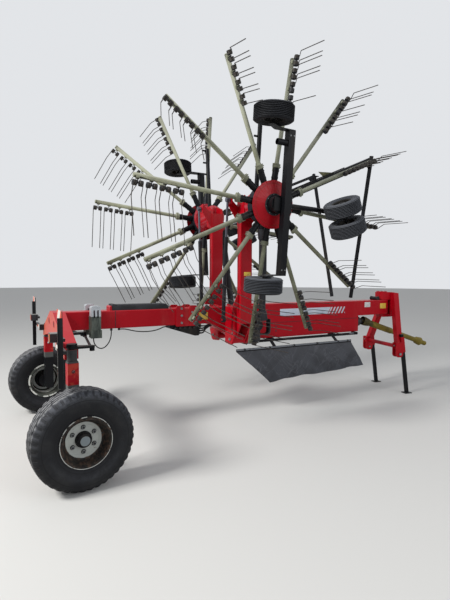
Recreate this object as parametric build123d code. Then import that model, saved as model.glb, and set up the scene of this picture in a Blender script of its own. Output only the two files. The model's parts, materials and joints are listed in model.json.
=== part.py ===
from build123d import *
from math import cos, radians, sin
import os

# Twin-rotor towed rotary rake, folded up for the road. Millimetres, +X forward, +Y left, +Z up.
# Every length below is measured from the rear axle, on the centre line, at ground level.
# ORIGIN_X then puts the origin under the middle of the whole machine.
ORIGIN_X = -2602.6

# Driving dimensions: road wheels and steering
TYRE_RADIUS = 422.5
TYRE_WIDTH = 290.0
TRACK = 2410.0
RIM_RADIUS = 215.0
RIM_WIDTH = 262.0
WHEEL_BOLT_CIRCLE = 205.0
WHEEL_BOLTS = 6
HUB_RADIUS = 70.0
AXLE_RADIUS = 32.0
KINGPIN_OFFSET = 275.0
KINGPIN_RADIUS = 25.0
KINGPIN_SLEEVE_RADIUS = 42.0
KINGPIN_SLEEVE_BASE = 1030.0
KINGPIN_SLEEVE_TOP = 1130.0
KNUCKLE_WIDTH = 96.0
KNUCKLE_DEPTH = 76.0
STEER_ARM_REACH = 165.0
STEER_ARM_OFFSET = 40.0
STEER_PLATE_THICKNESS = 20.0
STEER_PLATE_BASE = 1135.0
RELAY_X = 105.0
TIE_ROD_RADIUS = 12.5
WHEEL_REST_ANGLE = 6.1
HEADSTOCK_REST_ANGLE = -10.7
SHAFT_REST_ANGLE = -7.0

# Driving dimensions: main beam
BEAM_HALF_WIDTH = 100.0
BEAM_EDGE_ROUND = 12.0
BEAM_REAR_X = 62.0
BEAM_BOTTOM = 1189.0
BEAM_TOP = 1387.0
TAPER_REAR_X = 1740.0
TAPER_FRONT_X = 2160.0
FRONT_BEAM_BOTTOM = 950.0
FRONT_BEAM_TOP = 1405.0
FRONT_BEAM_X = 2440.0
DEEP_END_X = 4215.0
NECK_BOTTOM = 1185.0
HEADSTOCK_REACH = 585.0
NECK_PIN_RADIUS = 30.0
NECK_EYE_RADIUS = 62.0

# Driving dimensions: portal axle
PORTAL_HALF_THICKNESS = 60.0
PORTAL_TOP = 1392.0
PORTAL_CROWN = 130.0
PORTAL_CROWN_ROUND = 45.0

# Driving dimensions: booms
PIVOT_Y = 230.0
PIVOT_Z = 995.0
PIVOT_PIN_RADIUS = 30.0
PIVOT_EYE_RADIUS = 55.0
YOKE_EYE_RADIUS = 67.0
BOOM_X = 2075.0
BOOM_WIDTH = 160.0
BOOM_THICKNESS = 90.0
BOOM_Y = 380.0
BOOM_BASE_Z = 1200.0
BOOM_TOP_Z = 2600.0
YOKE_GAP = 8.0
YOKE_PLATE = 25.0
YOKE_TOP = 1400.0
YOKE_REACH = 335.0

# Driving dimensions: rotors
HUB_X = 2129.0
HUB_Y = 843.0
HUB_Z = 2557.0
ROTOR_TILT = 5.67
ARM_COUNT = 12
ARM_PHASE = -6.0
ARM_TIP = 1556.0
ARM_RADIUS = 21.5
ARM_ROOT = 400.0
DISC_RADIUS = 262.0
DRUM_RADIUS = 205.0
DRUM_DEPTH = 112.0
ROTOR_AXLE_RADIUS = 45.0
BEARING_RADIUS = 34.0
TINE_PAIRS = 4
TINE_PAIR_PITCH = 138.0
TINE_SPACING = 64.0
TINE_WIRE = 9.0
TINE_TIP = 540.0
COIL_HEIGHT = 60.0
COIL_RADIUS = 24.0
COIL_LENGTH = 30.0
COIL_PIN_RADIUS = 12.0
# How far each arm has turned its tines back from the rotor's axis, arm by arm from the front, upwards.
FEATHER = (0, 0, 0, 0, 12, 50, 88, 88, 45, 10, 0, 0)

# Driving dimensions: rotor chassis and its wheels
SMALL_TYRE_RADIUS = 204.0
SMALL_TYRE_WIDTH = 165.0
SMALL_RIM_RADIUS = 103.0
WHEEL_DROP = TINE_TIP - SMALL_TYRE_RADIUS
CHASSIS_WHEEL_X = -250.0
CHASSIS_WHEEL_Y = 850.0
BAR_X = 65.0
BAR_HALF_LENGTH = 752.0
BAR_DROP = 200.0
BAR_WIDTH = 80.0
END_PLATE = 10.0
CASTOR_X = 924.0
CASTOR_Y = -30.0
CASTOR_TRAIL = 150.0
CASTOR_REST_ANGLE = 25.0
CASTOR_WHEEL_SPACING = 235.0
CASTOR_ARM_DROP = 88.0
CASTOR_ARM_ROOT_DROP = 112.0
CASTOR_ARM_RADIUS = 28.0
CASTOR_STEM_RADIUS = 20.0
CASTOR_SLEEVE_RADIUS = 42.0
CASTOR_SLEEVE_TOP = 50.0
CASTOR_TYRE_GAP = 10.0
SMALL_AXLE_RADIUS = 14.0

# Driving dimensions: lift cylinders
CYLINDER_X = 1830.0
CYLINDER_FOOT_Y = 300.0
CYLINDER_FOOT_Z = 1250.0
CYLINDER_HEAD_Y = 400.0
CYLINDER_HEAD_Z = 2655.0
CYLINDER_EYE_RADIUS = 34.0
CYLINDER_EYE_WIDTH = 40.0
CYLINDER_PIN_RADIUS = 14.0
EAR_GAP = 12.0
EAR_PLATE = 16.0
BARREL_RADIUS = 23.0
BARREL_LENGTH = 980.0
ROD_RADIUS = 14.0

# Driving dimensions: headstock, parking stands and drive shaft
HITCH_HALF_WIDTH = 370.0
HITCH_PIN_RADIUS = 14.2
HITCH_PIN_X = 35.0
HITCH_PIN_Z = 610.0
CLEVIS_GAP = 60.0
CLEVIS_PLATE = 15.0
CLEVIS_TOP = 780.0
CROSS_TUBE_Z = 715.0
HEAD_TOP = 1525.0
LEG_WIDTH = 80.0
LEG_TOP_Y = 100.0
LEG_DEPTH = 90.0
STAND_TUBE = 45.0
STAND_TILT = 8.0
STAND_X = 128.0
STAND_WALL = 6.0
SHAFT_JOINT_REACH = 205.0
SHAFT_JOINT_Z = 1088.0
SHAFT_PIN_RADIUS = 11.0
FORK_HALF = 22.0
BELL_RADIUS = 66.0
SHAFT_RUN = 1240.0
SHAFT_END_Z = 675.0
SHAFT_GUARD_RADIUS = 38.0
SPLINE_BORE_RADIUS = 17.5

# Fits and gaps
RUNNING_FIT = 0.06
SEAT_GAP = 0.3
PLATE_GAP = 3.0

SIDES = (("right", False), ("left", True))

# Values worked out from the driving dimensions
AXLE_Z = TYRE_RADIUS
WHEEL_Y = TRACK / 2
KINGPIN_Y = WHEEL_Y - KINGPIN_OFFSET
HEADSTOCK_X = DEEP_END_X + HEADSTOCK_REACH
SHAFT_JOINT_X = DEEP_END_X + SHAFT_JOINT_REACH
SHAFT_END_X = SHAFT_JOINT_X + SHAFT_RUN
STEER_PLATE_TOP = STEER_PLATE_BASE + STEER_PLATE_THICKNESS
CROSS_TUBE_HALF = HITCH_HALF_WIDTH - CLEVIS_GAP / 2 - CLEVIS_PLATE
TIE_ROD_Z = STEER_PLATE_BASE - TIE_ROD_RADIUS - PLATE_GAP
CASTOR_SLEEVE_BASE = WHEEL_DROP - SMALL_TYRE_RADIUS - CASTOR_TYRE_GAP
CASTOR_CROWN_TOP = CASTOR_SLEEVE_BASE + PLATE_GAP
CASTOR_CROWN_BASE = CASTOR_CROWN_TOP + 36
ROTOR = Plane(
    origin=(HUB_X, -HUB_Y, HUB_Z),
    x_dir=(1, 0, 0),
    z_dir=(0, -cos(radians(ROTOR_TILT)), -sin(radians(ROTOR_TILT))),
).location
HITCH_AXIS = Location((HEADSTOCK_X, 0, 0), (0, 0, HEADSTOCK_REST_ANGLE))


def cylinder(radius, start, end):
    """A round bar from one point to another."""
    start, end = Vector(start), Vector(end)
    run = end - start
    return Plane(origin=start, z_dir=run).location * extrude(Circle(radius), run.length)


def tube(radius, bore, start, end):
    """A round tube from one point to another."""
    start, end = Vector(start), Vector(end)
    run = end - start
    return Plane(origin=start, z_dir=run).location * extrude(Circle(radius) - Circle(bore), run.length)


def bar(width, depth, start, end, across):
    """A rectangular bar from one point to another, its width along the given direction."""
    start, end = Vector(start), Vector(end)
    run = end - start
    section = Plane(origin=start, x_dir=across, z_dir=run)
    return section.location * extrude(Rectangle(width, depth), run.length)


def block(low, high):
    """A box from its low corner to its high corner."""
    size = [b - a for a, b in zip(low, high)]
    return Pos(*low) * Box(*size, align=(Align.MIN, Align.MIN, Align.MIN))


def flat(points, place):
    """A flat outline placed in space; a corner's third number is the radius that rounds it."""
    face = make_face(Polyline(*[place(point[0], point[1]) for point in points], close=True)).faces()[0]
    for point in points:
        if len(point) == 3:
            corner = face.vertices().sort_by_distance(place(point[0], point[1]))[0]
            face = face.fillet_2d(point[2], [corner])
    return face


def plate_x(points, low, high):
    """A plate across the machine: an outline in Y and Z, from one X to another."""
    return extrude(flat(points, lambda y, z: (low, y, z)), high - low, dir=(1, 0, 0))


def plate_y(points, low, high):
    """A plate along the machine: an outline in X and Z, from one Y to another."""
    return extrude(flat(points, lambda x, z: (x, low, z)), high - low, dir=(0, 1, 0))


def plate_z(points, low, high):
    """A level plate: an outline in X and Y, from one Z to another."""
    return extrude(flat(points, lambda x, y: (x, y, low)), high - low, dir=(0, 0, 1))


def turned(profile, axis=Axis.Z):
    """A solid of revolution of an outline of radii and heights, with rounds where it gives them."""
    return revolve(flat(profile, lambda r, z: (r, 0, z)), axis)


def polar(radius, angle):
    """A point on a circle, in degrees from +X towards +Y."""
    return radius * cos(radians(angle)), radius * sin(radians(angle))


def save(name, *shapes):
    """Write one sub-part, moved from the rear axle's frame to the machine's own origin."""
    solids = [solid for shape in shapes for solid in shape.solids()]
    whole = Compound(children=solids) if len(solids) > 1 else solids[0]
    export_step(Pos(ORIGIN_X, 0, 0) * whole, f"parts/{name}.step")


def save_sides(name, *shapes):
    """Write the right-hand sub-part as built and the left-hand one as its mirror image."""
    for side, mirrored in SIDES:
        made = [mirror(shape, about=Plane.XZ) if mirrored else shape for shape in shapes]
        save(f"{name}_{side}", *made)


COVER_REAR_X = 560.0
COVER_FRONT_X = 1225.0
COVER_HALF_WIDTH = 85.0
COVER_HEIGHT = 62.0


def main_beam():
    """Box beam: slim at the rear, a taper at the booms, deep in front, a neck to the headstock.

    A bracket on its top face stops the cover's rear end.
    """
    side = (
        (BEAM_REAR_X, BEAM_BOTTOM),
        (TAPER_REAR_X, BEAM_BOTTOM),
        (TAPER_FRONT_X, FRONT_BEAM_BOTTOM),
        (DEEP_END_X, FRONT_BEAM_BOTTOM),
        (DEEP_END_X, NECK_BOTTOM),
        (HEADSTOCK_X, NECK_BOTTOM),
        (HEADSTOCK_X, FRONT_BEAM_TOP),
        (FRONT_BEAM_X, FRONT_BEAM_TOP),
        (FRONT_BEAM_X, BEAM_TOP),
        (BEAM_REAR_X, BEAM_TOP),
    )
    body = plate_y(side, -BEAM_HALF_WIDTH, BEAM_HALF_WIDTH)
    long_edges = [edge for edge in body.edges()
                  if abs(abs(edge.center().Y) - BEAM_HALF_WIDTH) < 1 and edge.bounding_box().size.X > 1]
    body = fillet(long_edges, BEAM_EDGE_ROUND)
    nose = extrude(Pos(HEADSTOCK_X, 0, NECK_BOTTOM) * Circle(BEAM_HALF_WIDTH), FRONT_BEAM_TOP - NECK_BOTTOM)
    nose = fillet(nose.edges().filter_by(GeomType.CIRCLE), BEAM_EDGE_ROUND)
    bore = cylinder(NECK_PIN_RADIUS + RUNNING_FIT, (HEADSTOCK_X, 0, NECK_BOTTOM), (HEADSTOCK_X, 0, FRONT_BEAM_TOP))
    body += plate_y(((COVER_REAR_X - 26, BEAM_TOP - 10), (COVER_REAR_X - 4, BEAM_TOP - 10),
                     (COVER_REAR_X - 4, BEAM_TOP + COVER_HEIGHT + 8, 8), (COVER_REAR_X - 26, BEAM_TOP + COVER_HEIGHT - 24)),
                    -COVER_HALF_WIDTH, COVER_HALF_WIDTH)
    return body + nose - bore


FLANGE_X = 1440.0
FLANGE_REACH = 140.0
FLANGE_PLATE = 14.0
FLANGE_RISE = 32.0
FLANGE_DROP = 16.0
LOBE_GAP = 32.0
COLLAR_REAR = 32.0
COLLAR_WIDTH = 58.0
COLLAR_THICKNESS = 10.0


def beam_flanges():
    """Side plates with two round lobes above the beam, joined by a bolted collar band."""
    plates = []
    low_z, high_z = BEAM_BOTTOM - FLANGE_DROP, BEAM_TOP + FLANGE_RISE
    dip = BEAM_TOP - 6
    face = (
        (FLANGE_X - FLANGE_REACH, low_z, 10),
        (FLANGE_X + FLANGE_REACH, low_z, 10),
        (FLANGE_X + FLANGE_REACH, high_z, 36),
        (FLANGE_X + LOBE_GAP, high_z, 22),
        (FLANGE_X + LOBE_GAP, dip, 12),
        (FLANGE_X - LOBE_GAP, dip, 12),
        (FLANGE_X - LOBE_GAP, high_z, 22),
        (FLANGE_X - FLANGE_REACH, high_z, 36),
    )
    collar_x = FLANGE_X + COLLAR_REAR
    band = ((collar_x, low_z), (collar_x + COLLAR_WIDTH, low_z), (collar_x + COLLAR_WIDTH, high_z - 20, 16),
            (collar_x, high_z - 20, 16))
    for side in (-1, 1):
        inner = side * BEAM_HALF_WIDTH
        outer = side * (BEAM_HALF_WIDTH + FLANGE_PLATE)
        raised = side * (BEAM_HALF_WIDTH + FLANGE_PLATE + COLLAR_THICKNESS)
        plate = plate_y(face, *sorted((inner, outer)))
        plate += plate_y(band, *sorted((inner, raised)))
        plates.append(plate)
    return plates


YOKE_REAR_X = BOOM_X - BOOM_WIDTH / 2 - YOKE_GAP
YOKE_FRONT_X = BOOM_X + BOOM_WIDTH / 2 + YOKE_GAP


def boom_yoke():
    """The two cross plates that carry the booms' hinge pins, on each side of the beam."""
    made = []
    for side in (-1, 1):
        face = (
            (side * BEAM_HALF_WIDTH, PIVOT_Z - YOKE_EYE_RADIUS + 12),
            (side * (PIVOT_Y - 20), PIVOT_Z - YOKE_EYE_RADIUS + 2),
            (side * (PIVOT_Y + YOKE_EYE_RADIUS - 10), PIVOT_Z - 28),
            (side * YOKE_REACH, PIVOT_Z + 60, 40),
            (side * YOKE_REACH, CYLINDER_FOOT_Z + 32, 34),
            (side * (YOKE_REACH - 110), YOKE_TOP, 30),
            (side * BEAM_HALF_WIDTH, YOKE_TOP - 10),
        )
        for low, high in ((YOKE_REAR_X - YOKE_PLATE, YOKE_REAR_X), (YOKE_FRONT_X, YOKE_FRONT_X + YOKE_PLATE)):
            plate = plate_x(face, low, high)
            plate += cylinder(YOKE_EYE_RADIUS, (low, side * PIVOT_Y, PIVOT_Z), (high, side * PIVOT_Y, PIVOT_Z))
            hole = cylinder(PIVOT_PIN_RADIUS, (low, side * PIVOT_Y, PIVOT_Z), (high, side * PIVOT_Y, PIVOT_Z))
            made.append(plate - hole)
        made.append(cylinder(
            PIVOT_PIN_RADIUS,
            (YOKE_REAR_X - YOKE_PLATE, side * PIVOT_Y, PIVOT_Z),
            (YOKE_FRONT_X + YOKE_PLATE, side * PIVOT_Y, PIVOT_Z),
        ))
        foot = (YOKE_REAR_X - YOKE_PLATE, side * CYLINDER_FOOT_Y, CYLINDER_FOOT_Z)
        made.append(cylinder(CYLINDER_PIN_RADIUS, (CYLINDER_X - CYLINDER_EYE_WIDTH / 2, *foot[1:]), foot))
    return made


PORTAL_LEG_TOP = 1165.0
PORTAL_LEG_BOTTOM = 1035.0
PORTAL_INNER_BOTTOM = 1150.0
PORTAL_STEP = 115.0


def rear_portal():
    """Portal axle: a crown at the beam's end and two splayed legs down to the kingpin sleeves."""
    leg_end = KINGPIN_Y - KINGPIN_SLEEVE_RADIUS + 12
    step = KINGPIN_Y - PORTAL_STEP
    half = (
        (leg_end, PORTAL_LEG_BOTTOM), (leg_end, KINGPIN_SLEEVE_TOP - 8), (step, KINGPIN_SLEEVE_TOP - 8),
        (step - 15, PORTAL_LEG_TOP, 20), (PORTAL_CROWN, PORTAL_TOP, PORTAL_CROWN_ROUND),
    )
    crown = ((PORTAL_CROWN, PORTAL_INNER_BOTTOM), *half)
    face = (*crown, *[(-corner[0], *corner[1:]) for corner in reversed(crown)])
    axle = plate_x(face, -PORTAL_HALF_THICKNESS, PORTAL_HALF_THICKNESS)
    for side in (-1, 1):
        foot = (0, side * KINGPIN_Y, KINGPIN_SLEEVE_BASE)
        head = (0, side * KINGPIN_Y, KINGPIN_SLEEVE_TOP)
        axle -= cylinder(KINGPIN_SLEEVE_RADIUS + 1, (0, side * KINGPIN_Y, 0), (0, side * KINGPIN_Y, 2000))
        axle += tube(KINGPIN_SLEEVE_RADIUS + 1, KINGPIN_RADIUS + RUNNING_FIT, foot, head)
    flange = block((PORTAL_HALF_THICKNESS, -BEAM_HALF_WIDTH - 25, BEAM_BOTTOM - 5),
                   (BEAM_REAR_X, BEAM_HALF_WIDTH + 25, BEAM_TOP + 5))
    return axle + flange


def at_steer_rest(shape, x, y, angle=WHEEL_REST_ANGLE):
    """Turn a steered piece about its own upright pin to the angle it is parked at."""
    return Pos(x, y, 0) * Rot(0, 0, angle) * Pos(-x, -y, 0) * shape


KNUCKLE_SHOE = 60.0
KNUCKLE_HOLE_RADIUS = 17.0
KNUCKLE_HOLE_Z = 935.0
KINGPIN_CAP_RADIUS = 46.0
KINGPIN_CAP_HEIGHT = 22.0


def steering_knuckle():
    """Right-hand knuckle: kingpin, steering arm with its ball, upright and stub axle, wheels straight ahead."""
    y = -KINGPIN_Y
    pin = cylinder(KINGPIN_RADIUS, (0, y, KINGPIN_SLEEVE_BASE - 20), (0, y, STEER_PLATE_TOP))
    half = KNUCKLE_WIDTH / 2
    top = KINGPIN_SLEEVE_BASE - PLATE_GAP
    upright = plate_y(((-half, AXLE_Z - KNUCKLE_SHOE, 30), (half, AXLE_Z - KNUCKLE_SHOE, 30), (half, top - 20, 18),
                       (KINGPIN_SLEEVE_RADIUS, top), (-KINGPIN_SLEEVE_RADIUS, top), (-half, top - 20, 18)),
                      y - KNUCKLE_DEPTH / 2, y + KNUCKLE_DEPTH / 2)
    upright -= cylinder(KNUCKLE_HOLE_RADIUS, (0, y - KNUCKLE_DEPTH, KNUCKLE_HOLE_Z), (0, y + KNUCKLE_DEPTH, KNUCKLE_HOLE_Z))
    axle = cylinder(AXLE_RADIUS, (0, y, AXLE_Z), (0, -WHEEL_Y - 52, AXLE_Z))
    axle += cylinder(AXLE_RADIUS + 20, (0, y, AXLE_Z), (0, y - KNUCKLE_DEPTH / 2 - 24, AXLE_Z))
    ball_x, ball_y = STEER_ARM_REACH, y - STEER_ARM_OFFSET
    arm = plate_z(
        ((-45, y + 45, 30), (30, y + 45), (ball_x + 24, ball_y + 24, 22), (ball_x + 24, ball_y - 24, 22),
         (ball_x - 24, ball_y - 24), (-45, y - 45, 30)),
        STEER_PLATE_BASE, STEER_PLATE_TOP)
    arm += cylinder(KINGPIN_CAP_RADIUS, (0, y, STEER_PLATE_TOP), (0, y, STEER_PLATE_TOP + KINGPIN_CAP_HEIGHT))
    ball = cylinder(12, (ball_x, ball_y, TIE_ROD_Z + TIE_ROD_RADIUS + 0.4), (ball_x, ball_y, STEER_PLATE_BASE))
    return at_steer_rest(pin + upright + axle + arm + ball, 0, y)


def relay_lever():
    """The lever under the beam that turns both knuckles through the tie rods."""
    hub = cylinder(34, (RELAY_X, 0, 1085), (RELAY_X, 0, STEER_PLATE_TOP + 20))
    end = RELAY_X + STEER_ARM_REACH
    lever = plate_z(
        ((RELAY_X - 24, -28, 16), (RELAY_X + 40, -58, 20), (end + 18, -STEER_ARM_OFFSET - 18, 17),
         (end + 18, STEER_ARM_OFFSET + 18, 17), (RELAY_X + 40, 58, 20), (RELAY_X - 24, 28, 16)),
        STEER_PLATE_BASE, STEER_PLATE_TOP)
    lever += hub
    for side in (-1, 1):
        y = side * STEER_ARM_OFFSET
        lever += cylinder(12, (end, y, TIE_ROD_Z + TIE_ROD_RADIUS + 0.4), (end, y, STEER_PLATE_BASE))
    lever -= cylinder(20 + RUNNING_FIT, (RELAY_X, 0, 1000), (RELAY_X, 0, BEAM_BOTTOM))
    return at_steer_rest(lever, RELAY_X, 0)


def relay_post():
    """The fixed post that the relay lever turns on."""
    post = cylinder(20, (RELAY_X, 0, 1070), (RELAY_X, 0, BEAM_BOTTOM))
    return post + cylinder(30, (RELAY_X, 0, 1066), (RELAY_X, 0, 1080))


def tie_rod():
    """Right-hand tie rod from the relay lever to the knuckle's arm, with an eye at each end."""
    shift = Vector(STEER_ARM_REACH, -STEER_ARM_OFFSET, 0).rotate(Axis.Z, WHEEL_REST_ANGLE)
    inner = Vector(RELAY_X, 0, TIE_ROD_Z) + shift
    outer = Vector(0, -KINGPIN_Y, TIE_ROD_Z) + shift
    rod = cylinder(TIE_ROD_RADIUS, inner, outer)
    for end in (inner, outer):
        rod += cylinder(22, end - Vector(0, 0, TIE_ROD_RADIUS), end + Vector(0, 0, TIE_ROD_RADIUS))
    return rod


def road_tyre():
    """Right-hand road tyre, lying on its axle, as a turned carcass with rounded shoulders."""
    half = TYRE_WIDTH / 2
    bead = RIM_WIDTH / 2 - 8
    profile = (
        (RIM_RADIUS - 12, -bead + 2), (RIM_RADIUS + 2, -bead + 2), (RIM_RADIUS + 25, -bead - 4),
        (TYRE_RADIUS - 110, -half), (TYRE_RADIUS - 32, -half + 12, 26), (TYRE_RADIUS, -half + 62, 36),
        (TYRE_RADIUS, half - 62, 36), (TYRE_RADIUS - 32, half - 12, 26), (TYRE_RADIUS - 110, half),
        (RIM_RADIUS + 25, bead + 4), (RIM_RADIUS + 2, bead - 2), (RIM_RADIUS - 12, bead - 2),
    )
    return turned(profile)


def road_rim():
    """Right-hand rim: flanged barrel, dished disc with its bolts, and a domed hub on the stub axle."""
    half = RIM_WIDTH / 2
    seat = RIM_RADIUS - 12 - SEAT_GAP
    barrel = turned((
        (seat - 10, -half), (RIM_RADIUS, -half), (RIM_RADIUS, -half + 7), (seat, -half + 8.5),
        (seat - 30, -45), (seat - 30, 45), (seat, half - 8.5), (RIM_RADIUS, half - 7), (RIM_RADIUS, half),
        (seat - 10, half), (seat - 40, 55), (seat - 40, -55),
    ))
    disc = turned((
        (HUB_RADIUS - 6, 22), (130, 22), (seat - 40, 45), (seat - 40, 55), (126, 32), (HUB_RADIUS - 6, 32),
    ))
    hub = turned((
        (AXLE_RADIUS + RUNNING_FIT, -115), (HUB_RADIUS + 12, -115), (HUB_RADIUS + 12, -60), (HUB_RADIUS + 45, -2),
        (HUB_RADIUS + 45, 22), (HUB_RADIUS - 6, 22), (HUB_RADIUS - 6, 32), (HUB_RADIUS - 6, 60),
        (AXLE_RADIUS + RUNNING_FIT, 60),
    ))
    cap = turned(((0, 60), (HUB_RADIUS - 10, 60), (HUB_RADIUS - 14, 78), (HUB_RADIUS - 32, 92), (0, 97)))
    bolts = [Pos(*polar(WHEEL_BOLT_CIRCLE / 2, 60 * k + 30), 32) * extrude(RegularPolygon(15, 6), 14)
             for k in range(WHEEL_BOLTS)]
    return barrel, disc + hub + cap, *bolts


WHEEL_AXIS = Location((0, -WHEEL_Y, AXLE_Z), (90, 0, 0))


def road_wheel(shapes):
    """Stand a wheel up on the right-hand stub axle, outer face outwards, at its parked angle."""
    return [at_steer_rest(WHEEL_AXIS * shape, 0, -KINGPIN_Y) for shape in shapes]


STUB_Y = 300.0
STUB_X = 2335.0
STUB_Z = 1150.0
STUB_RADIUS = 62.0
CASE_HALF_WIDTH = 170.0
CASE_LOW = (2230.0, -CASE_HALF_WIDTH, 900.0)
CASE_HIGH = (2440.0, CASE_HALF_WIDTH, 1250.0)
CASE_CHAMFER = 40.0
HOOP_HALF = 100.0
HOOP_LOW_Z = 1046.0
HOOP_HIGH_Z = 1240.0
HOOP_INNER_Y = 330.0
HOOP_OUTER_Y = 415.0
HOOP_WALL = 12.0
HOOP_ROUND = 45.0


def hoop_guard(side):
    """The round-cornered hoop about the joint at a boom shaft's lower end, on its strap from the gearbox."""
    low, high = sorted((side * HOOP_INNER_Y, side * HOOP_OUTER_Y))
    inner, wall = HOOP_HALF - HOOP_WALL, HOOP_WALL
    hoop = plate_y((
        (STUB_X - HOOP_HALF, HOOP_HIGH_Z), (STUB_X - HOOP_HALF, HOOP_LOW_Z, HOOP_ROUND),
        (STUB_X + HOOP_HALF, HOOP_LOW_Z, HOOP_ROUND), (STUB_X + HOOP_HALF, HOOP_HIGH_Z),
        (STUB_X + inner, HOOP_HIGH_Z), (STUB_X + inner, HOOP_LOW_Z + wall, HOOP_ROUND - wall),
        (STUB_X - inner, HOOP_LOW_Z + wall, HOOP_ROUND - wall), (STUB_X - inner, HOOP_HIGH_Z),
    ), low, high)
    strap_low, strap_high = sorted((side * (CASE_HALF_WIDTH - 5), side * (HOOP_INNER_Y + 5)))
    return hoop + block((STUB_X - 35, strap_low, HOOP_LOW_Z - 6), (STUB_X + 35, strap_high, HOOP_LOW_Z + wall - 4))


def central_gearbox():
    """Gearbox saddled over the beam, with a flanged stub and a hoop guard on each side for a boom's shaft."""
    case = block(CASE_LOW, CASE_HIGH)
    case = chamfer(case.edges().filter_by(Axis.X), CASE_CHAMFER)
    case -= main_beam()
    stubs = []
    for side in (-1, 1):
        case += cylinder(STUB_RADIUS + 26, (STUB_X, side * (CASE_HALF_WIDTH - 5), STUB_Z), (STUB_X, side * 200, STUB_Z))
        case += hoop_guard(side)
        stubs.append(cylinder(STUB_RADIUS, (STUB_X, side * 200, STUB_Z), (STUB_X, side * STUB_Y, STUB_Z)))
    return case, *stubs


SHAFT_FOOT = (2335.0, -375.0, 1235.0)
SHAFT_HEAD = (2242.0, -522.0, 2330.0)


GUSSET_TOP = 1590.0
GUSSET_BASE = 1390.0
GUSSET_REACH = 90.0
GUSSET_PLATE = 14.0
BOOM_EDGE_ROUND = 10.0


def boom():
    """Right-hand boom: hinge sleeve, base cheeks, rectangular column and the head that holds the rotor."""
    sleeve_low = BOOM_X - BOOM_WIDTH / 2
    sleeve_high = BOOM_X + BOOM_WIDTH / 2
    inner = -BOOM_Y + BOOM_THICKNESS / 2
    outer = -BOOM_Y - BOOM_THICKNESS / 2
    cheek = (
        (-PIVOT_Y + 40, PIVOT_Z - 36), (-PIVOT_Y - 30, PIVOT_Z - 50), (outer, BOOM_BASE_Z), (outer, BOOM_BASE_Z + 180),
        (inner, BOOM_BASE_Z + 180), (inner, BOOM_BASE_Z + 40), (-PIVOT_Y + 40, PIVOT_Z + 36),
    )
    shape = plate_x(cheek, sleeve_low, sleeve_low + 20)
    shape += plate_x(cheek, sleeve_high - 20, sleeve_high)
    shape += cylinder(PIVOT_EYE_RADIUS, (sleeve_low, -PIVOT_Y, PIVOT_Z), (sleeve_high, -PIVOT_Y, PIVOT_Z))
    column = block((sleeve_low + 1, outer, BOOM_BASE_Z), (sleeve_high - 1, inner, BOOM_TOP_Z))
    shape += fillet(column.edges().filter_by(Axis.Z), BOOM_EDGE_ROUND)
    gusset = ((sleeve_low + 2, GUSSET_TOP), (sleeve_low + 2, GUSSET_BASE), (sleeve_low - GUSSET_REACH, GUSSET_BASE))
    shape += plate_y(gusset, -BOOM_Y - GUSSET_PLATE / 2, -BOOM_Y + GUSSET_PLATE / 2)
    head = ((inner, BOOM_TOP_Z - 240), (inner, BOOM_TOP_Z + 60, 40), (-500, BOOM_TOP_Z + 110), (-500, BOOM_TOP_Z - 160))
    shape += plate_x(head, sleeve_low, sleeve_low + 16)
    shape += plate_x(head, sleeve_high - 16, sleeve_high)
    ear = CYLINDER_X + CYLINDER_EYE_WIDTH / 2 + EAR_GAP
    arm = ((sleeve_low + 30, 2360), (sleeve_low + 30, 2560), (ear, CYLINDER_HEAD_Z + 60), (ear, CYLINDER_HEAD_Z - 50))
    shape += plate_y(arm, -BOOM_Y + 22, -BOOM_Y + 36)
    ear_outline = ((-BOOM_Y + 36, CYLINDER_HEAD_Z - 50), (-BOOM_Y + 36, CYLINDER_HEAD_Z + 60),
                   (-CYLINDER_HEAD_Y - 38, CYLINDER_HEAD_Z + 42, 30), (-CYLINDER_HEAD_Y - 38, CYLINDER_HEAD_Z - 42, 30))
    shape += plate_x(ear_outline, ear, ear + EAR_PLATE)
    shape -= ROTOR * gearbox_case()
    shape -= cylinder(PIVOT_PIN_RADIUS + RUNNING_FIT, (sleeve_low, -PIVOT_Y, PIVOT_Z), (sleeve_high, -PIVOT_Y, PIVOT_Z))
    return shape


GEARBOX_BACK = -345.0
GEARBOX_FRONT = -152.0
CASE_GAP = 5.5


def gearbox_case():
    """Round case of a rotor's gearbox and cam, in the rotor's own frame."""
    return turned(((0, GEARBOX_BACK), (120, GEARBOX_BACK), (155, GEARBOX_BACK + 40), (155, GEARBOX_FRONT - 50),
                   (185, GEARBOX_FRONT - 30), (185, GEARBOX_FRONT - CASE_GAP), (0, GEARBOX_FRONT - CASE_GAP)))


def rotor_gearbox():
    """Right-hand rotor gearbox with its input neck, and the fixed axle that the rotor turns on."""
    axle = cylinder(ROTOR_AXLE_RADIUS, (0, 0, GEARBOX_FRONT - CASE_GAP), (0, 0, BAR_DROP - BAR_WIDTH / 2))
    foot, head = Vector(SHAFT_FOOT), Vector(SHAFT_HEAD)
    neck = cylinder(58, head, head + (head - foot).normalized() * 170)
    return ROTOR * (gearbox_case() + axle) + neck


def drive_shaft():
    """Right-hand boom drive shaft: two sliding guard tubes with a cone at each end."""
    foot, head = Vector(SHAFT_FOOT), Vector(SHAFT_HEAD)
    run = (head - foot).normalized()
    length = (head - foot).length
    outline = turned(((0, 0), (70, 0), (52, 110), (40, 118), (40, length * 0.52), (47, length * 0.52),
                      (47, length - 130), (58, length - 120), (66, length - 0.3), (0, length - 0.3)))
    return Plane(origin=foot, z_dir=run).location * outline


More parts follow.
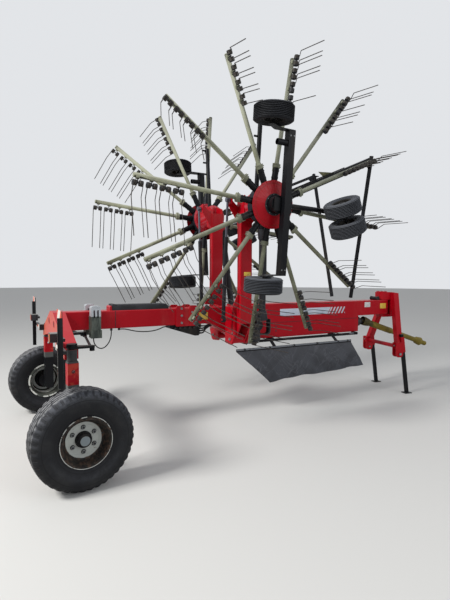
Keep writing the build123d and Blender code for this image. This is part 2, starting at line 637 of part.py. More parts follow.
def rotor_disc():
    """Right-hand rotor's drum and dished cover disc."""
    bore = ROTOR_AXLE_RADIUS + RUNNING_FIT
    back = GEARBOX_FRONT
    drum = turned(((bore, back), (DRUM_RADIUS, back), (DRUM_RADIUS + 18, back + 30), (DRUM_RADIUS, back + DRUM_DEPTH),
                   (DRUM_RADIUS, 46), (bore, 46)))
    disc = turned(((95, 46), (DISC_RADIUS, 46), (DISC_RADIUS, 52), (225, 56), (120, 74), (95, 74)))
    return ROTOR * (drum + disc)


ARM_CLAMP_LENGTH = 46.0
ARM_CLAMP_HEIGHT = 96.0
ARM_CLAMP_WIDTH = 58.0
CLAMP_LEVER_LENGTH = 84.0
CLAMP_LEVER_WIDTH = 12.0


def quick_clamp():
    """The oval clamp where an arm plugs into its sleeve, with the lever that locks it, along +X."""
    oval = extrude(Plane.YZ * SlotOverall(ARM_CLAMP_HEIGHT, ARM_CLAMP_WIDTH), ARM_CLAMP_LENGTH)
    lever_y = ARM_CLAMP_HEIGHT / 2 - CLAMP_LEVER_WIDTH - 3
    lever = block((-CLAMP_LEVER_LENGTH / 2, lever_y, -CLAMP_LEVER_WIDTH / 2),
                  (ARM_CLAMP_LENGTH, lever_y + CLAMP_LEVER_WIDTH, CLAMP_LEVER_WIDTH / 2))
    return Pos(ARM_ROOT, 0, 0) * (oval + lever)


def rotor_arms():
    """Right-hand rotor's twelve tine arms, each with its bearing sleeve on the drum and its quick clamp."""
    arm = cylinder(ARM_RADIUS, (ARM_ROOT, 0, 0), (ARM_TIP, 0, 0))
    arm += cylinder(BEARING_RADIUS, (DRUM_RADIUS + SEAT_GAP, 0, 0), (ARM_ROOT, 0, 0))
    arm += cylinder(BEARING_RADIUS + 8, (DRUM_RADIUS + SEAT_GAP + 16, 0, 0), (DRUM_RADIUS + SEAT_GAP + 34, 0, 0))
    arm += quick_clamp()
    return [ROTOR * Rot(0, 0, ARM_PHASE + k * 360 / ARM_COUNT) * arm for k in range(ARM_COUNT)]


def tine_row():
    """One arm's tine pairs along +X: a holder on the arm, two coils and two kinked tines pointing along +Z."""
    half = TINE_WIRE / 2
    kinks = ((0, COIL_HEIGHT), (9, 215), (-5, 390), (8, TINE_TIP))
    side_a = [(y - half, z) for y, z in kinks]
    side_b = [(y + half, z) for y, z in reversed(kinks)]
    outer_end = (TINE_SPACING + TINE_WIRE + 8) / 2
    pieces = []
    for pair in range(TINE_PAIRS):
        middle = ARM_TIP - 44 - pair * TINE_PAIR_PITCH
        pin = cylinder(COIL_PIN_RADIUS, (middle - outer_end, 0, COIL_HEIGHT), (middle + outer_end, 0, COIL_HEIGHT))
        piece = pin + block((middle - 18, -20, 10), (middle + 18, 20, COIL_HEIGHT))
        for side in (-1, 1):
            near, far = middle + side * (outer_end - COIL_LENGTH), middle + side * outer_end
            piece += cylinder(COIL_RADIUS, (near, 0, COIL_HEIGHT), (far, 0, COIL_HEIGHT))
            x = middle + side * TINE_SPACING / 2
            piece += plate_x(side_a + side_b, x - half, x + half)
        piece -= cylinder(ARM_RADIUS + 0.02, (middle - 60, 0, 0), (middle + 60, 0, 0))
        pieces.append(piece)
    return pieces


def rotor_tines():
    """Right-hand rotor's tines, each arm's row turned about its arm by that arm's feathering."""
    row = Compound(children=tine_row())
    rows = []
    for k, feather in enumerate(FEATHER):
        place = ROTOR * Rot(0, 0, ARM_PHASE + k * 360 / ARM_COUNT) * Rot(-feather, 0, 0)
        rows.append(place * row)
    return rows


CLAMP_HALF = 95.0
CLAMP_TOP = 86.0
CLAMP_PLATE = 16.0


def rotor_chassis():
    """Right-hand rotor chassis: hub, cross bar, end plates with stub axles, and the castor arm."""
    low, high = BAR_DROP - BAR_WIDTH / 2, BAR_DROP + BAR_WIDTH / 2
    shape = block((BAR_X - 45, -BAR_HALF_LENGTH, low), (BAR_X + 35, BAR_HALF_LENGTH, high))
    shape += cylinder(92, (0, 0, 84), (0, 0, low)) - cylinder(ROTOR_AXLE_RADIUS, (0, 0, 0), (0, 0, low))
    shape += block((-70, -70, low), (BAR_X, 70, low + 24))
    for side in (-1, 1):
        start = side * BAR_HALF_LENGTH
        face = ((BAR_X + 40, low, 16), (BAR_X + 40, high, 16), (-80, high + 10, 60),
                (CHASSIS_WHEEL_X - 35, WHEEL_DROP + 35, 30), (CHASSIS_WHEEL_X - 35, WHEEL_DROP - 35, 30), (-120, low, 60))
        shape += plate_y(face, *sorted((start, start + side * END_PLATE)))
        axle_end = side * (CHASSIS_WHEEL_Y + SMALL_TYRE_WIDTH / 2 - 10)
        shape += cylinder(SMALL_AXLE_RADIUS, (CHASSIS_WHEEL_X, start, WHEEL_DROP), (CHASSIS_WHEEL_X, axle_end, WHEEL_DROP))
    shape += plate_x(((-CLAMP_HALF, CLAMP_TOP, 20), (CLAMP_HALF, CLAMP_TOP, 20), (CLAMP_HALF, high, 20), (-CLAMP_HALF, high, 20)),
                     BAR_X + 34, BAR_X + 34 + CLAMP_PLATE)
    shape += cylinder(CASTOR_ARM_RADIUS, (60, 0, CASTOR_ARM_ROOT_DROP), (CASTOR_X, CASTOR_Y, CASTOR_ARM_DROP))
    shape += cylinder(CASTOR_SLEEVE_RADIUS, (CASTOR_X, CASTOR_Y, CASTOR_SLEEVE_TOP), (CASTOR_X, CASTOR_Y, CASTOR_SLEEVE_BASE))
    shape -= cylinder(CASTOR_STEM_RADIUS + RUNNING_FIT, (CASTOR_X, CASTOR_Y, 0), (CASTOR_X, CASTOR_Y, 200))
    shape -= cylinder(ROTOR_AXLE_RADIUS, (0, 0, 0), (0, 0, low))
    shape += tube(32, 27, (BAR_X - 45, 630, BAR_DROP), (BAR_X - 165, 630, BAR_DROP))
    return ROTOR * shape


def small_wheel(bore):
    """A rib tyre on its rim, lying on its axle."""
    half = SMALL_TYRE_WIDTH / 2
    tyre = turned((
        (SMALL_RIM_RADIUS, -half + 22), (SMALL_RIM_RADIUS + 18, -half + 12), (SMALL_TYRE_RADIUS - 46, -half),
        (SMALL_TYRE_RADIUS, -half + 20, 24), (SMALL_TYRE_RADIUS, half - 20, 24), (SMALL_TYRE_RADIUS - 46, half),
        (SMALL_RIM_RADIUS + 18, half - 12), (SMALL_RIM_RADIUS, half - 22),
    ))
    inside = SMALL_RIM_RADIUS - SEAT_GAP
    rim = turned((
        (bore, -55), (36, -55), (36, -10), (inside - 12, -10), (inside - 12, -half + 14), (inside, -half + 14),
        (inside, half - 14), (inside - 12, half - 14), (inside - 12, 6), (36, 6), (36, 55), (bore, 55),
    ))
    return tyre, rim


def chassis_wheel(side):
    """One of the two fixed wheels of the right-hand rotor chassis, side -1 low and 1 high."""
    place = ROTOR * Location((CHASSIS_WHEEL_X, side * CHASSIS_WHEEL_Y, WHEEL_DROP), (90, 0, 0))
    return [place * shape for shape in small_wheel(SMALL_AXLE_RADIUS + RUNNING_FIT)]


CASTOR_REST = Location((CASTOR_X, CASTOR_Y, 0), (0, 0, CASTOR_REST_ANGLE))


def castor_fork():
    """Right-hand castor: stem in its sleeve, a leg between the wheels and the axle through them."""
    stem = cylinder(CASTOR_STEM_RADIUS, (0, 0, CASTOR_SLEEVE_TOP - 6), (0, 0, CASTOR_CROWN_TOP + 10))
    leg = plate_y(((35, CASTOR_CROWN_TOP), (35, CASTOR_CROWN_BASE), (-CASTOR_TRAIL + 40, WHEEL_DROP + 20),
                   (-CASTOR_TRAIL, WHEEL_DROP + 42, 24), (-CASTOR_TRAIL - 35, WHEEL_DROP, 24), (-45, CASTOR_CROWN_BASE + 10),
                   (-40, CASTOR_CROWN_TOP)), -20, 20)
    reach = CASTOR_WHEEL_SPACING / 2 + 60
    axle = cylinder(SMALL_AXLE_RADIUS, (-CASTOR_TRAIL, -reach, WHEEL_DROP), (-CASTOR_TRAIL, reach, WHEEL_DROP))
    cap = cylinder(34, (0, 0, CASTOR_SLEEVE_TOP - 12), (0, 0, CASTOR_SLEEVE_TOP - PLATE_GAP))
    return ROTOR * CASTOR_REST * (stem + leg + axle + cap)


def castor_wheels():
    """Right-hand castor's two wheels, which turn together on one axle."""
    made = []
    for side in (-1, 1):
        place = Location((-CASTOR_TRAIL, side * CASTOR_WHEEL_SPACING / 2, WHEEL_DROP), (90, 0, 0))
        made += [ROTOR * CASTOR_REST * place * shape for shape in small_wheel(SMALL_AXLE_RADIUS + RUNNING_FIT)]
    return made


GUARD_ROOT = (120.0, 60.0, -195.0)
GUARD_TOP = (1772.0, 753.0, -330.0)
GUARD_FOOT = (1832.0, -1152.0, -535.0)
GUARD_ARM = 40.0
GUARD_BAR = 36.0
BRACE_RADIUS = 10.0
BRACE_OFFSET = 62.0
POST_DROP = -250.0
POST_X = -40.0
POST_RADIUS = 26.0
POST_PEGS = (600.0, 760.0, 930.0)


def guard_bow():
    """Right-hand guard: arm from the gearbox with its brace rod, front bar with a gusset, and the upper post."""
    root, corner, foot = Vector(GUARD_ROOT), Vector(GUARD_TOP), Vector(GUARD_FOOT)
    shape = bar(GUARD_ARM, GUARD_ARM, root, corner, (0, 0, 1))
    down = (foot - corner).normalized()
    shape += bar(GUARD_BAR, GUARD_BAR, corner - down * 34, foot, (0, 0, 1))
    along = (corner - root).normalized()
    below = Vector(along.Y, -along.X, 0).normalized()
    for share, offset in ((0.08, BRACE_OFFSET), (0.66, BRACE_OFFSET)):
        end = root + (corner - root) * share
        shape += bar(14, 14, end, end + below * (offset + 8), (0, 0, 1))
    brace_start = root + (corner - root) * 0.06 + below * BRACE_OFFSET
    brace_end = root + (corner - root) * 0.68 + below * BRACE_OFFSET
    shape += cylinder(BRACE_RADIUS, brace_start, brace_end)
    web = corner + down * 4 - along * 4
    gusset = make_face(Polyline(web, web - along * 130, web + down * 150, close=True))
    shape += extrude(gusset, 8, dir=along.cross(down))
    post = cylinder(POST_RADIUS, (POST_X, 80, POST_DROP), (POST_X, 960, POST_DROP))
    for height in POST_PEGS:
        post += cylinder(12, (POST_X, height, POST_DROP), (POST_X - 70, height, POST_DROP))
    return ROTOR * (shape - gearbox_case()), ROTOR * (post - gearbox_case())


def cylinder_geometry():
    """The right-hand lift cylinder's two eyes."""
    return (Vector(CYLINDER_X, -CYLINDER_FOOT_Y, CYLINDER_FOOT_Z), Vector(CYLINDER_X, -CYLINDER_HEAD_Y, CYLINDER_HEAD_Z))


def lift_barrel():
    """Right-hand lift cylinder's barrel with its foot eye."""
    foot, head = cylinder_geometry()
    run = (head - foot).normalized()
    shape = cylinder(BARREL_RADIUS, foot, foot + run * BARREL_LENGTH)
    shape += cylinder(CYLINDER_EYE_RADIUS, foot - Vector(CYLINDER_EYE_WIDTH / 2, 0, 0), foot + Vector(CYLINDER_EYE_WIDTH / 2, 0, 0))
    shape -= cylinder(CYLINDER_PIN_RADIUS + RUNNING_FIT, foot - Vector(60, 0, 0), foot + Vector(60, 0, 0))
    shape -= cylinder(ROD_RADIUS + RUNNING_FIT, foot + run * 340, foot + run * (BARREL_LENGTH + 10))
    return shape


def lift_rod():
    """Right-hand lift cylinder's rod with its head eye and the pin that points at the boom's head."""
    foot, head = cylinder_geometry()
    run = (head - foot).normalized()
    shape = cylinder(ROD_RADIUS, foot + run * 360, head)
    half = CYLINDER_EYE_WIDTH / 2
    shape += cylinder(CYLINDER_EYE_RADIUS - 6, head - Vector(half, 0, 0), head + Vector(half, 0, 0))
    shape += cylinder(CYLINDER_PIN_RADIUS, head, head + Vector(half + EAR_GAP - SEAT_GAP, 0, 0))
    return shape


HEAD_REAR = -75.0
HEAD_HALF = 85.0
HEAD_FRONT_GAP = 8.0
HEAD_PLATE = 30.0
HEAD_CAP_RADIUS = 80.0
HEAD_CAP_HEIGHT = 12.0
LOWER_BLOCK = 45.0
LEG_FOOT_X = 45.0
LEG_FOOT_Z = 700.0
CROSS_TUBE_RADIUS = 30.0
SLEEVE_LOW_Z = 630.0
SLEEVE_HIGH_Z = 860.0
CLEVIS_REAR = -30.0
CLEVIS_FRONT = 95.0
CLEVIS_LOW_Z = 560.0
CLEVIS_WEB_REAR = -5.0
CLEVIS_WEB_FRONT = 70.0
CLEVIS_WEB_HEIGHT = 100.0


def headstock():
    """Inverted V that swivels on the neck: head with its pin, legs, cross tube, clevises and stand sleeves."""
    front = BEAM_HALF_WIDTH + HEAD_FRONT_GAP
    head = block((HEAD_REAR, -HEAD_HALF, FRONT_BEAM_TOP + PLATE_GAP), (front, HEAD_HALF, HEAD_TOP))
    shape = fillet(head.edges().filter_by(Axis.Z).sort_by(Axis.X)[:2], 40)
    foot_block = block((HEAD_REAR + 15, -75, NECK_BOTTOM - LOWER_BLOCK), (front, 75, NECK_BOTTOM - PLATE_GAP))
    shape += fillet(foot_block.edges().filter_by(Axis.Z).sort_by(Axis.X)[:2], 40)
    shape += plate_x(((-HEAD_HALF, NECK_BOTTOM - LOWER_BLOCK, 20), (HEAD_HALF, NECK_BOTTOM - LOWER_BLOCK, 20),
                      (125, HEAD_TOP - 60), (125, HEAD_TOP, 30), (-125, HEAD_TOP, 30), (-125, HEAD_TOP - 60)),
                     front, front + HEAD_PLATE)
    shape += cylinder(NECK_PIN_RADIUS, (0, 0, NECK_BOTTOM - LOWER_BLOCK - 5), (0, 0, HEAD_TOP + 2))
    shape += cylinder(HEAD_CAP_RADIUS, (0, 0, HEAD_TOP - 4), (0, 0, HEAD_TOP + HEAD_CAP_HEIGHT))
    leg_top_x = front + LEG_DEPTH / 2 + 8
    for side in (-1, 1):
        y = side * HITCH_HALF_WIDTH
        shape += bar(LEG_WIDTH, LEG_DEPTH, (leg_top_x, side * LEG_TOP_Y, HEAD_TOP - 20), (LEG_FOOT_X, y, LEG_FOOT_Z), (0, 1, 0))
        shape -= block((-90, y - CLEVIS_GAP, 500), (150, y + CLEVIS_GAP, CLEVIS_TOP))
    shape += cylinder(CROSS_TUBE_RADIUS, (LEG_FOOT_X, -CROSS_TUBE_HALF, CROSS_TUBE_Z), (LEG_FOOT_X, CROSS_TUBE_HALF, CROSS_TUBE_Z))
    shape -= clevis(-1)
    shape -= clevis(1)
    clearance = STAND_TUBE + 0.3
    for side in (-1, 1):
        y = side * HITCH_HALF_WIDTH
        shape += stand_tube(y, SLEEVE_LOW_Z, SLEEVE_HIGH_Z, STAND_TUBE + 2 * STAND_WALL)
    for side in (-1, 1):
        shape -= stand_tube(side * HITCH_HALF_WIDTH, 0, NECK_BOTTOM, clearance)
    return HITCH_AXIS * shape


def clevis(side):
    """Two ears with round feet for a lower link pin, joined by a web, at the foot of one leg."""
    y = side * HITCH_HALF_WIDTH
    shape = block((CLEVIS_WEB_REAR, y - CLEVIS_GAP / 2, CLEVIS_TOP - CLEVIS_WEB_HEIGHT),
                  (CLEVIS_WEB_FRONT, y + CLEVIS_GAP / 2, CLEVIS_TOP))
    for inner in (-CLEVIS_GAP / 2 - CLEVIS_PLATE, CLEVIS_GAP / 2):
        ear = ((CLEVIS_REAR, CLEVIS_LOW_Z, 50), (CLEVIS_FRONT, CLEVIS_LOW_Z, 50), (CLEVIS_FRONT, CLEVIS_TOP, 12),
               (CLEVIS_REAR, CLEVIS_TOP, 12))
        shape += plate_y(ear, y + inner, y + inner + CLEVIS_PLATE)
    return shape - cylinder(HITCH_PIN_RADIUS, (HITCH_PIN_X, y - 80, HITCH_PIN_Z), (HITCH_PIN_X, y + 80, HITCH_PIN_Z))


def stand_tube(y, low, high, width):
    """A square length of the leaning line that a parking stand slides on, by height."""
    lean = sin(radians(STAND_TILT)) / cos(radians(STAND_TILT))
    foot = (STAND_X + (HITCH_PIN_Z - low) * lean, y, low)
    head = (STAND_X + (HITCH_PIN_Z - high) * lean, y, high)
    return bar(width, width, foot, head, (0, 1, 0))


def parking_stand():
    """Right-hand parking stand: square leg with a foot plate."""
    y = -HITCH_HALF_WIDTH
    lean = sin(radians(STAND_TILT)) / cos(radians(STAND_TILT))
    x = STAND_X + HITCH_PIN_Z * lean
    leg = stand_tube(y, 6, 900, STAND_TUBE)
    return HITCH_AXIS * (leg + block((x - 60, y - 50, 0), (x + 60, y + 50, 10)))


def propeller_shaft():
    """Drive shaft to the towing vehicle: joint cone, two sliding guard tubes and the end yoke."""
    start = Vector(SHAFT_JOINT_X, 0, SHAFT_JOINT_Z)
    end = Vector(SHAFT_END_X, 0, SHAFT_END_Z)
    run = end - start
    length = run.length
    outline = turned(((0, 60), (BELL_RADIUS - 6, 25), (BELL_RADIUS - 4, -20), (BELL_RADIUS, -20), (BELL_RADIUS, 30),
                      (56, 95), (46, 120), (46, 560), (SHAFT_GUARD_RADIUS, 560), (SHAFT_GUARD_RADIUS, length - 230),
                      (56, length - 200), (66, length - 120), (36, length - 118), (36, length), (0, length)))
    outline += cylinder(13, (0, 0, 10), (0, 0, 80))
    outline -= cylinder(SPLINE_BORE_RADIUS, (0, 0, length - 80), (0, 0, length + 1))
    shaft = Plane(origin=start, z_dir=run).location * outline
    shaft += cylinder(20, start - Vector(0, 0, FORK_HALF - 1), start + Vector(0, 0, FORK_HALF - 1))
    shaft -= cylinder(SHAFT_PIN_RADIUS + RUNNING_FIT, start - Vector(0, 0, 60), start + Vector(0, 0, 60))
    return at_steer_rest(shaft, SHAFT_JOINT_X, 0, SHAFT_REST_ANGLE)


def input_housing():
    """Bearing housing on the deep beam's end, with the fork and pin of the propeller shaft's joint."""
    z = SHAFT_JOINT_Z
    shape = cylinder(70, (DEEP_END_X, 0, z), (DEEP_END_X + 90, 0, z))
    shape += cylinder(20, (DEEP_END_X + 90, 0, z), (SHAFT_JOINT_X - 42, 0, z))
    shape += block((SHAFT_JOINT_X - 60, -16, z - FORK_HALF - 10), (SHAFT_JOINT_X - 42, 16, z + FORK_HALF + 10))
    for side in (-1, 1):
        low, high = sorted((z + side * FORK_HALF, z + side * (FORK_HALF + 10)))
        shape += block((SHAFT_JOINT_X - 60, -16, low), (SHAFT_JOINT_X + 14, 16, high))
    return shape + cylinder(SHAFT_PIN_RADIUS, (SHAFT_JOINT_X, 0, z - FORK_HALF - 10), (SHAFT_JOINT_X, 0, z + FORK_HALF + 10))


BOARD_Y = 1200.0
BOARD_HALF_WIDTH = 141.0
BOARD_LOW_Z = 935.0
BOARD_HIGH_Z = 1499.0
BOARD_REAR_X = -135.0
BOARD_SHEET = 6.0
BOARD_ARM_Y = 800.0
BOARD_ARM_Z = 1150.0
LAMP_OFFSET = 215.0
LAMP_HALF_WIDTH = 50.0
LAMP_LOW_Z = 1210.0
LAMP_HIGH_Z = 1290.0
LAMP_REAR_X = -190.0
LAMP_FRONT_X = -114.0


def warning_boards():
    """Rear warning boards with round-cornered lamp boxes, on arms out from the portal's legs."""
    made = []
    front = BOARD_REAR_X + BOARD_SHEET
    for side in (-1, 1):
        y = side * BOARD_Y
        lamp_y = y - side * LAMP_OFFSET
        board = plate_x(((y - BOARD_HALF_WIDTH, BOARD_LOW_Z, 14), (y + BOARD_HALF_WIDTH, BOARD_LOW_Z, 14),
                         (y + BOARD_HALF_WIDTH, BOARD_HIGH_Z, 14), (y - BOARD_HALF_WIDTH, BOARD_HIGH_Z, 14)),
                        BOARD_REAR_X, front)
        lamp = plate_x(((lamp_y - LAMP_HALF_WIDTH, LAMP_LOW_Z, 12), (lamp_y + LAMP_HALF_WIDTH, LAMP_LOW_Z, 12),
                        (lamp_y + LAMP_HALF_WIDTH, LAMP_HIGH_Z, 12), (lamp_y - LAMP_HALF_WIDTH, LAMP_HIGH_Z, 12)),
                       LAMP_REAR_X, LAMP_FRONT_X)
        arm = bar(30, 30, (-100, side * BOARD_ARM_Y, BOARD_ARM_Z), (-100, y + side * 20, BOARD_ARM_Z), (1, 0, 0))
        post = block((front, y - 15, BOARD_LOW_Z + 25), (front + 14, y + 15, BOARD_HIGH_Z - 19))
        mount = block((front + 14, side * BOARD_ARM_Y - 30, BOARD_ARM_Z - 40),
                      (-PORTAL_HALF_THICKNESS, side * BOARD_ARM_Y + 30, BOARD_ARM_Z + 30))
        rail_z = (LAMP_LOW_Z + LAMP_HIGH_Z) / 2
        rail = bar(24, 24, (-103, y, rail_z), (-103, lamp_y - side * 50, rail_z), (1, 0, 0))
        made.append(board + post + arm + mount + rail + lamp)
    return made


CHOCK_X = 309.0
CHOCK_LENGTH = 100.0
CHOCK_WIDTH = 100.0
CHOCK_TOP = 1450.0
CHOCK_BACK_GAP = 12.0
HOLDER_TOP = 1340.0
HOLDER_BASE = 1110.0
HOLDER_FLOOR = 25.0
HOLDER_LIP = 60.0
CHOCK_SLOT_Z = 1365.0
CHOCK_SLOT_LENGTH = 84.0
CHOCK_SLOT_WIDTH = 17.0


def wheel_chocks():
    """A sheet chock with two upright oval slots in its tray holder, on each side of the beam."""
    made = []
    base = HOLDER_BASE + HOLDER_FLOOR
    for side in (-1, 1):
        inner = BEAM_HALF_WIDTH + CHOCK_BACK_GAP
        low, high = sorted((side * inner, side * (inner + CHOCK_WIDTH)))
        chock = plate_y(((CHOCK_X, base), (CHOCK_X + CHOCK_LENGTH, base), (CHOCK_X + CHOCK_LENGTH, CHOCK_TOP, 24),
                         (CHOCK_X, CHOCK_TOP, 24)), low, high)
        for x in (CHOCK_X + 31, CHOCK_X + 69):
            slot = Plane(origin=(x, low - 5, CHOCK_SLOT_Z), x_dir=(0, 0, 1), z_dir=(0, 1, 0))
            chock -= slot.location * extrude(SlotOverall(CHOCK_SLOT_LENGTH, CHOCK_SLOT_WIDTH), CHOCK_WIDTH + 10)
        low, high = sorted((side * BEAM_HALF_WIDTH, side * (inner + CHOCK_WIDTH + 13)))
        holder = block((CHOCK_X - 6, low, HOLDER_BASE), (CHOCK_X + CHOCK_LENGTH + 6, high, base))
        back = sorted((side * BEAM_HALF_WIDTH, side * inner))
        holder += block((CHOCK_X - 6, back[0], HOLDER_BASE), (CHOCK_X + CHOCK_LENGTH + 6, back[1], HOLDER_TOP))
        lip = sorted((side * (inner + CHOCK_WIDTH + 1), side * (inner + CHOCK_WIDTH + 13)))
        holder += block((CHOCK_X - 6, lip[0], HOLDER_BASE), (CHOCK_X + CHOCK_LENGTH + 6, lip[1], base + HOLDER_LIP))
        made += [chock, holder]
    return made


def beam_cover():
    """Long round-backed cover with a sloped front end and a taller rear end, seated on the rear beam."""
    base = BEAM_TOP + SEAT_GAP
    top = base + COVER_HEIGHT
    side = ((COVER_REAR_X, base), (COVER_FRONT_X, base), (COVER_FRONT_X, base + 30, 8), (COVER_FRONT_X - 45, top, 30),
            (COVER_REAR_X + 40, top), (COVER_REAR_X + 40, top + 6), (COVER_REAR_X, top + 6, 5))
    cover = plate_y(side, -COVER_HALF_WIDTH, COVER_HALF_WIDTH)
    ridge = [edge for edge in cover.edges().filter_by(Axis.X) if edge.length > 300 and edge.center().Z > top - 1]
    return fillet(ridge, 22)


VALVE_REAR_X = 1235.0
VALVE_FRONT_X = 1620.0
VALVE_HALF_WIDTH = 70.0
VALVE_PORTS = 4
PORT_RADIUS = 13.0


def valve_block():
    """Wedge-shaped valve housing under the beam, in front of the flange plates, with a row of hose ports."""
    top = BEAM_BOTTOM - FLANGE_DROP
    wedge = plate_y(((VALVE_REAR_X, top), (VALVE_REAR_X, 1150, 10), (1560, 1045, 20), (VALVE_FRONT_X, 1045, 12),
                     (VALVE_FRONT_X, top)), -VALVE_HALF_WIDTH, VALVE_HALF_WIDTH)
    wedge += block((VALVE_REAR_X, -VALVE_HALF_WIDTH, top), (VALVE_FRONT_X, VALVE_HALF_WIDTH, BEAM_BOTTOM))
    for k in range(VALVE_PORTS):
        z = 1068 + 29 * k
        wedge += cylinder(PORT_RADIUS, (VALVE_FRONT_X, -34, z), (VALVE_FRONT_X + 26, -34, z))
    return wedge


CLIP_SIZE = 22.0
CLIP_Z = BEAM_BOTTOM - CLIP_SIZE / 2
LONG_CLIP_X = 352.0
LONG_CLIP_BASE = 1104.0
CLIP_XS = (545.0, 630.0, 1210.0)
CABLE_RADIUS = 6.0
CABLE_Y = -88.0
SAG_CABLE = ((641, 1178), (690, 1178), (745, 1164), (815, 1145), (895, 1134), (975, 1132), (1050, 1140), (1110, 1156),
             (1158, 1178), (1199, 1178))
LOOP_CABLE = ((545, 1167), (545, 1118), (531, 1062), (500, 1008), (452, 974), (402, 982), (366, 1022), (352, 1068),
              (352, 1104))


def cable_clips():
    """The clips under the near edge of the rear beam that the free cables leave."""
    half = CLIP_SIZE / 2
    made = [block((LONG_CLIP_X - half, CABLE_Y - 10, LONG_CLIP_BASE), (LONG_CLIP_X + half, CABLE_Y + 10, BEAM_BOTTOM))]
    for x in CLIP_XS:
        made.append(block((x - half, CABLE_Y - 10, CLIP_Z - half), (x + half, CABLE_Y + 10, BEAM_BOTTOM)))
    return made


def free_cable(points):
    """A limp cable through its points in X and Z: straight runs joined by arcs as large as the runs allow."""
    path = [Vector(x, CABLE_Y, z) for x, z in points]
    radii = []
    for before, corner, after in zip(path, path[1:], path[2:]):
        turn = radians((corner - before).get_angle(after - corner)) / 2
        shorter = min((corner - before).length, (after - corner).length)
        radii.append(0.45 * shorter * cos(turn) / sin(turn))
    print("cable radii", [round(radius) for radius in radii])
    route = FilletPolyline(*path, radius=radii)
    start = Plane(origin=path[0], z_dir=path[1] - path[0])
    return sweep(start.location * Circle(CABLE_RADIUS), path=route)


RAIL_Y = -118.0
RAIL_Z = 925.0
RAIL_REAR_X = FRONT_BEAM_X + 6.0
RAIL_FRONT_X = DEEP_END_X - 45.0
HEM_Y = -215.0
HEM_Z = 842.0
HEM_REAR_X = 2060.0
HEM_FRONT_X = 3965.0
CLOTH_REAR_X = 2560.0
CLOTH_FRONT_X = 4230.0
CLOTH_BOTTOM = 400.0


def curtain_frame():
    """Swath curtain's carrier: rail under the beam, two drop brackets and the hem bar."""
    rail = bar(40, 30, (RAIL_REAR_X, RAIL_Y, RAIL_Z), (RAIL_FRONT_X, RAIL_Y, RAIL_Z), (0, 1, 0))
    hem = bar(12, 34, (HEM_REAR_X, HEM_Y, HEM_Z), (HEM_FRONT_X, HEM_Y, HEM_Z), (0, 1, 0))
    shape = rail + hem
    shape += plate_y(((RAIL_FRONT_X - 70, FRONT_BEAM_BOTTOM), (RAIL_FRONT_X - 70, RAIL_Z - 15), (RAIL_FRONT_X, RAIL_Z - 15, 14),
                      (RAIL_FRONT_X, RAIL_Z + 15), (RAIL_FRONT_X - 20, FRONT_BEAM_BOTTOM)), RAIL_Y - 26, RAIL_Y + 40)
    for x in (HEM_REAR_X + 580, HEM_FRONT_X - 265):
        shape += block((x - 45, RAIL_Y - 10, RAIL_Z + 10), (x + 45, RAIL_Y + 50, FRONT_BEAM_BOTTOM))
        shape += bar(40, 16, (x, RAIL_Y, RAIL_Z - 5), (x, HEM_Y, HEM_Z + 5), (1, 0, 0))
    return shape


def swath_curtain():
    """The curtain itself, a plain slanting sheet below the hem bar."""
    top = HEM_Z - 17.3
    return plate_y(((HEM_REAR_X, top), (CLOTH_REAR_X, CLOTH_BOTTOM), (CLOTH_FRONT_X, CLOTH_BOTTOM + 60),
                    (HEM_FRONT_X, top)), HEM_Y - 4, HEM_Y + 4)


def build():
    """Build and write every sub-part."""
    os.makedirs("parts", exist_ok=True)
    save("main_beam", main_beam())
    save("beam_flanges", *beam_flanges())
    save("boom_yoke", *boom_yoke())
    save("rear_portal", rear_portal())
    save("relay_post", relay_post())
    save("relay_lever", relay_lever())
    save("central_gearbox", *central_gearbox())
    save("input_housing", input_housing())
    save("warning_boards", *warning_boards())
    save("wheel_chocks", *wheel_chocks())
    save("beam_cover", beam_cover())
    save("valve_block", valve_block())
    save("cable_clips", *cable_clips())
    save("cable_sag", free_cable(SAG_CABLE))
    save("cable_loop", free_cable(LOOP_CABLE))
    save("curtain_frame", curtain_frame())
    save("swath_curtain", swath_curtain())
    save("headstock", headstock())
    save("hitch_clevis_right", HITCH_AXIS * clevis(-1))
    save("hitch_clevis_left", HITCH_AXIS * clevis(1))
    save("propeller_shaft", propeller_shaft())
    stand = parking_stand()
    save("parking_stand_right", stand)
    turned_back = HITCH_AXIS.inverse() * stand
    save("parking_stand_left", HITCH_AXIS * mirror(turned_back, about=Plane.XZ))
    steered_pieces()
    save_sides("boom", boom())
    save_sides("rotor_gearbox", rotor_gearbox())
    save_sides("drive_shaft", drive_shaft())
    save_sides("rotor_disc", rotor_disc())
    save_sides("rotor_arms", *rotor_arms())
    save_sides("rotor_tines", *rotor_tines())
    save_sides("rotor_chassis", rotor_chassis())
    save_sides("guard_bow", *guard_bow())
    for name, side in (("upper", 1), ("lower", -1)):
        save_sides(f"chassis_wheel_{name}", *chassis_wheel(side))
    save_sides("castor_fork", castor_fork())
    save_sides("castor_wheels", *castor_wheels())
    save_sides("lift_barrel", lift_barrel())
    save_sides("lift_rod", lift_rod())


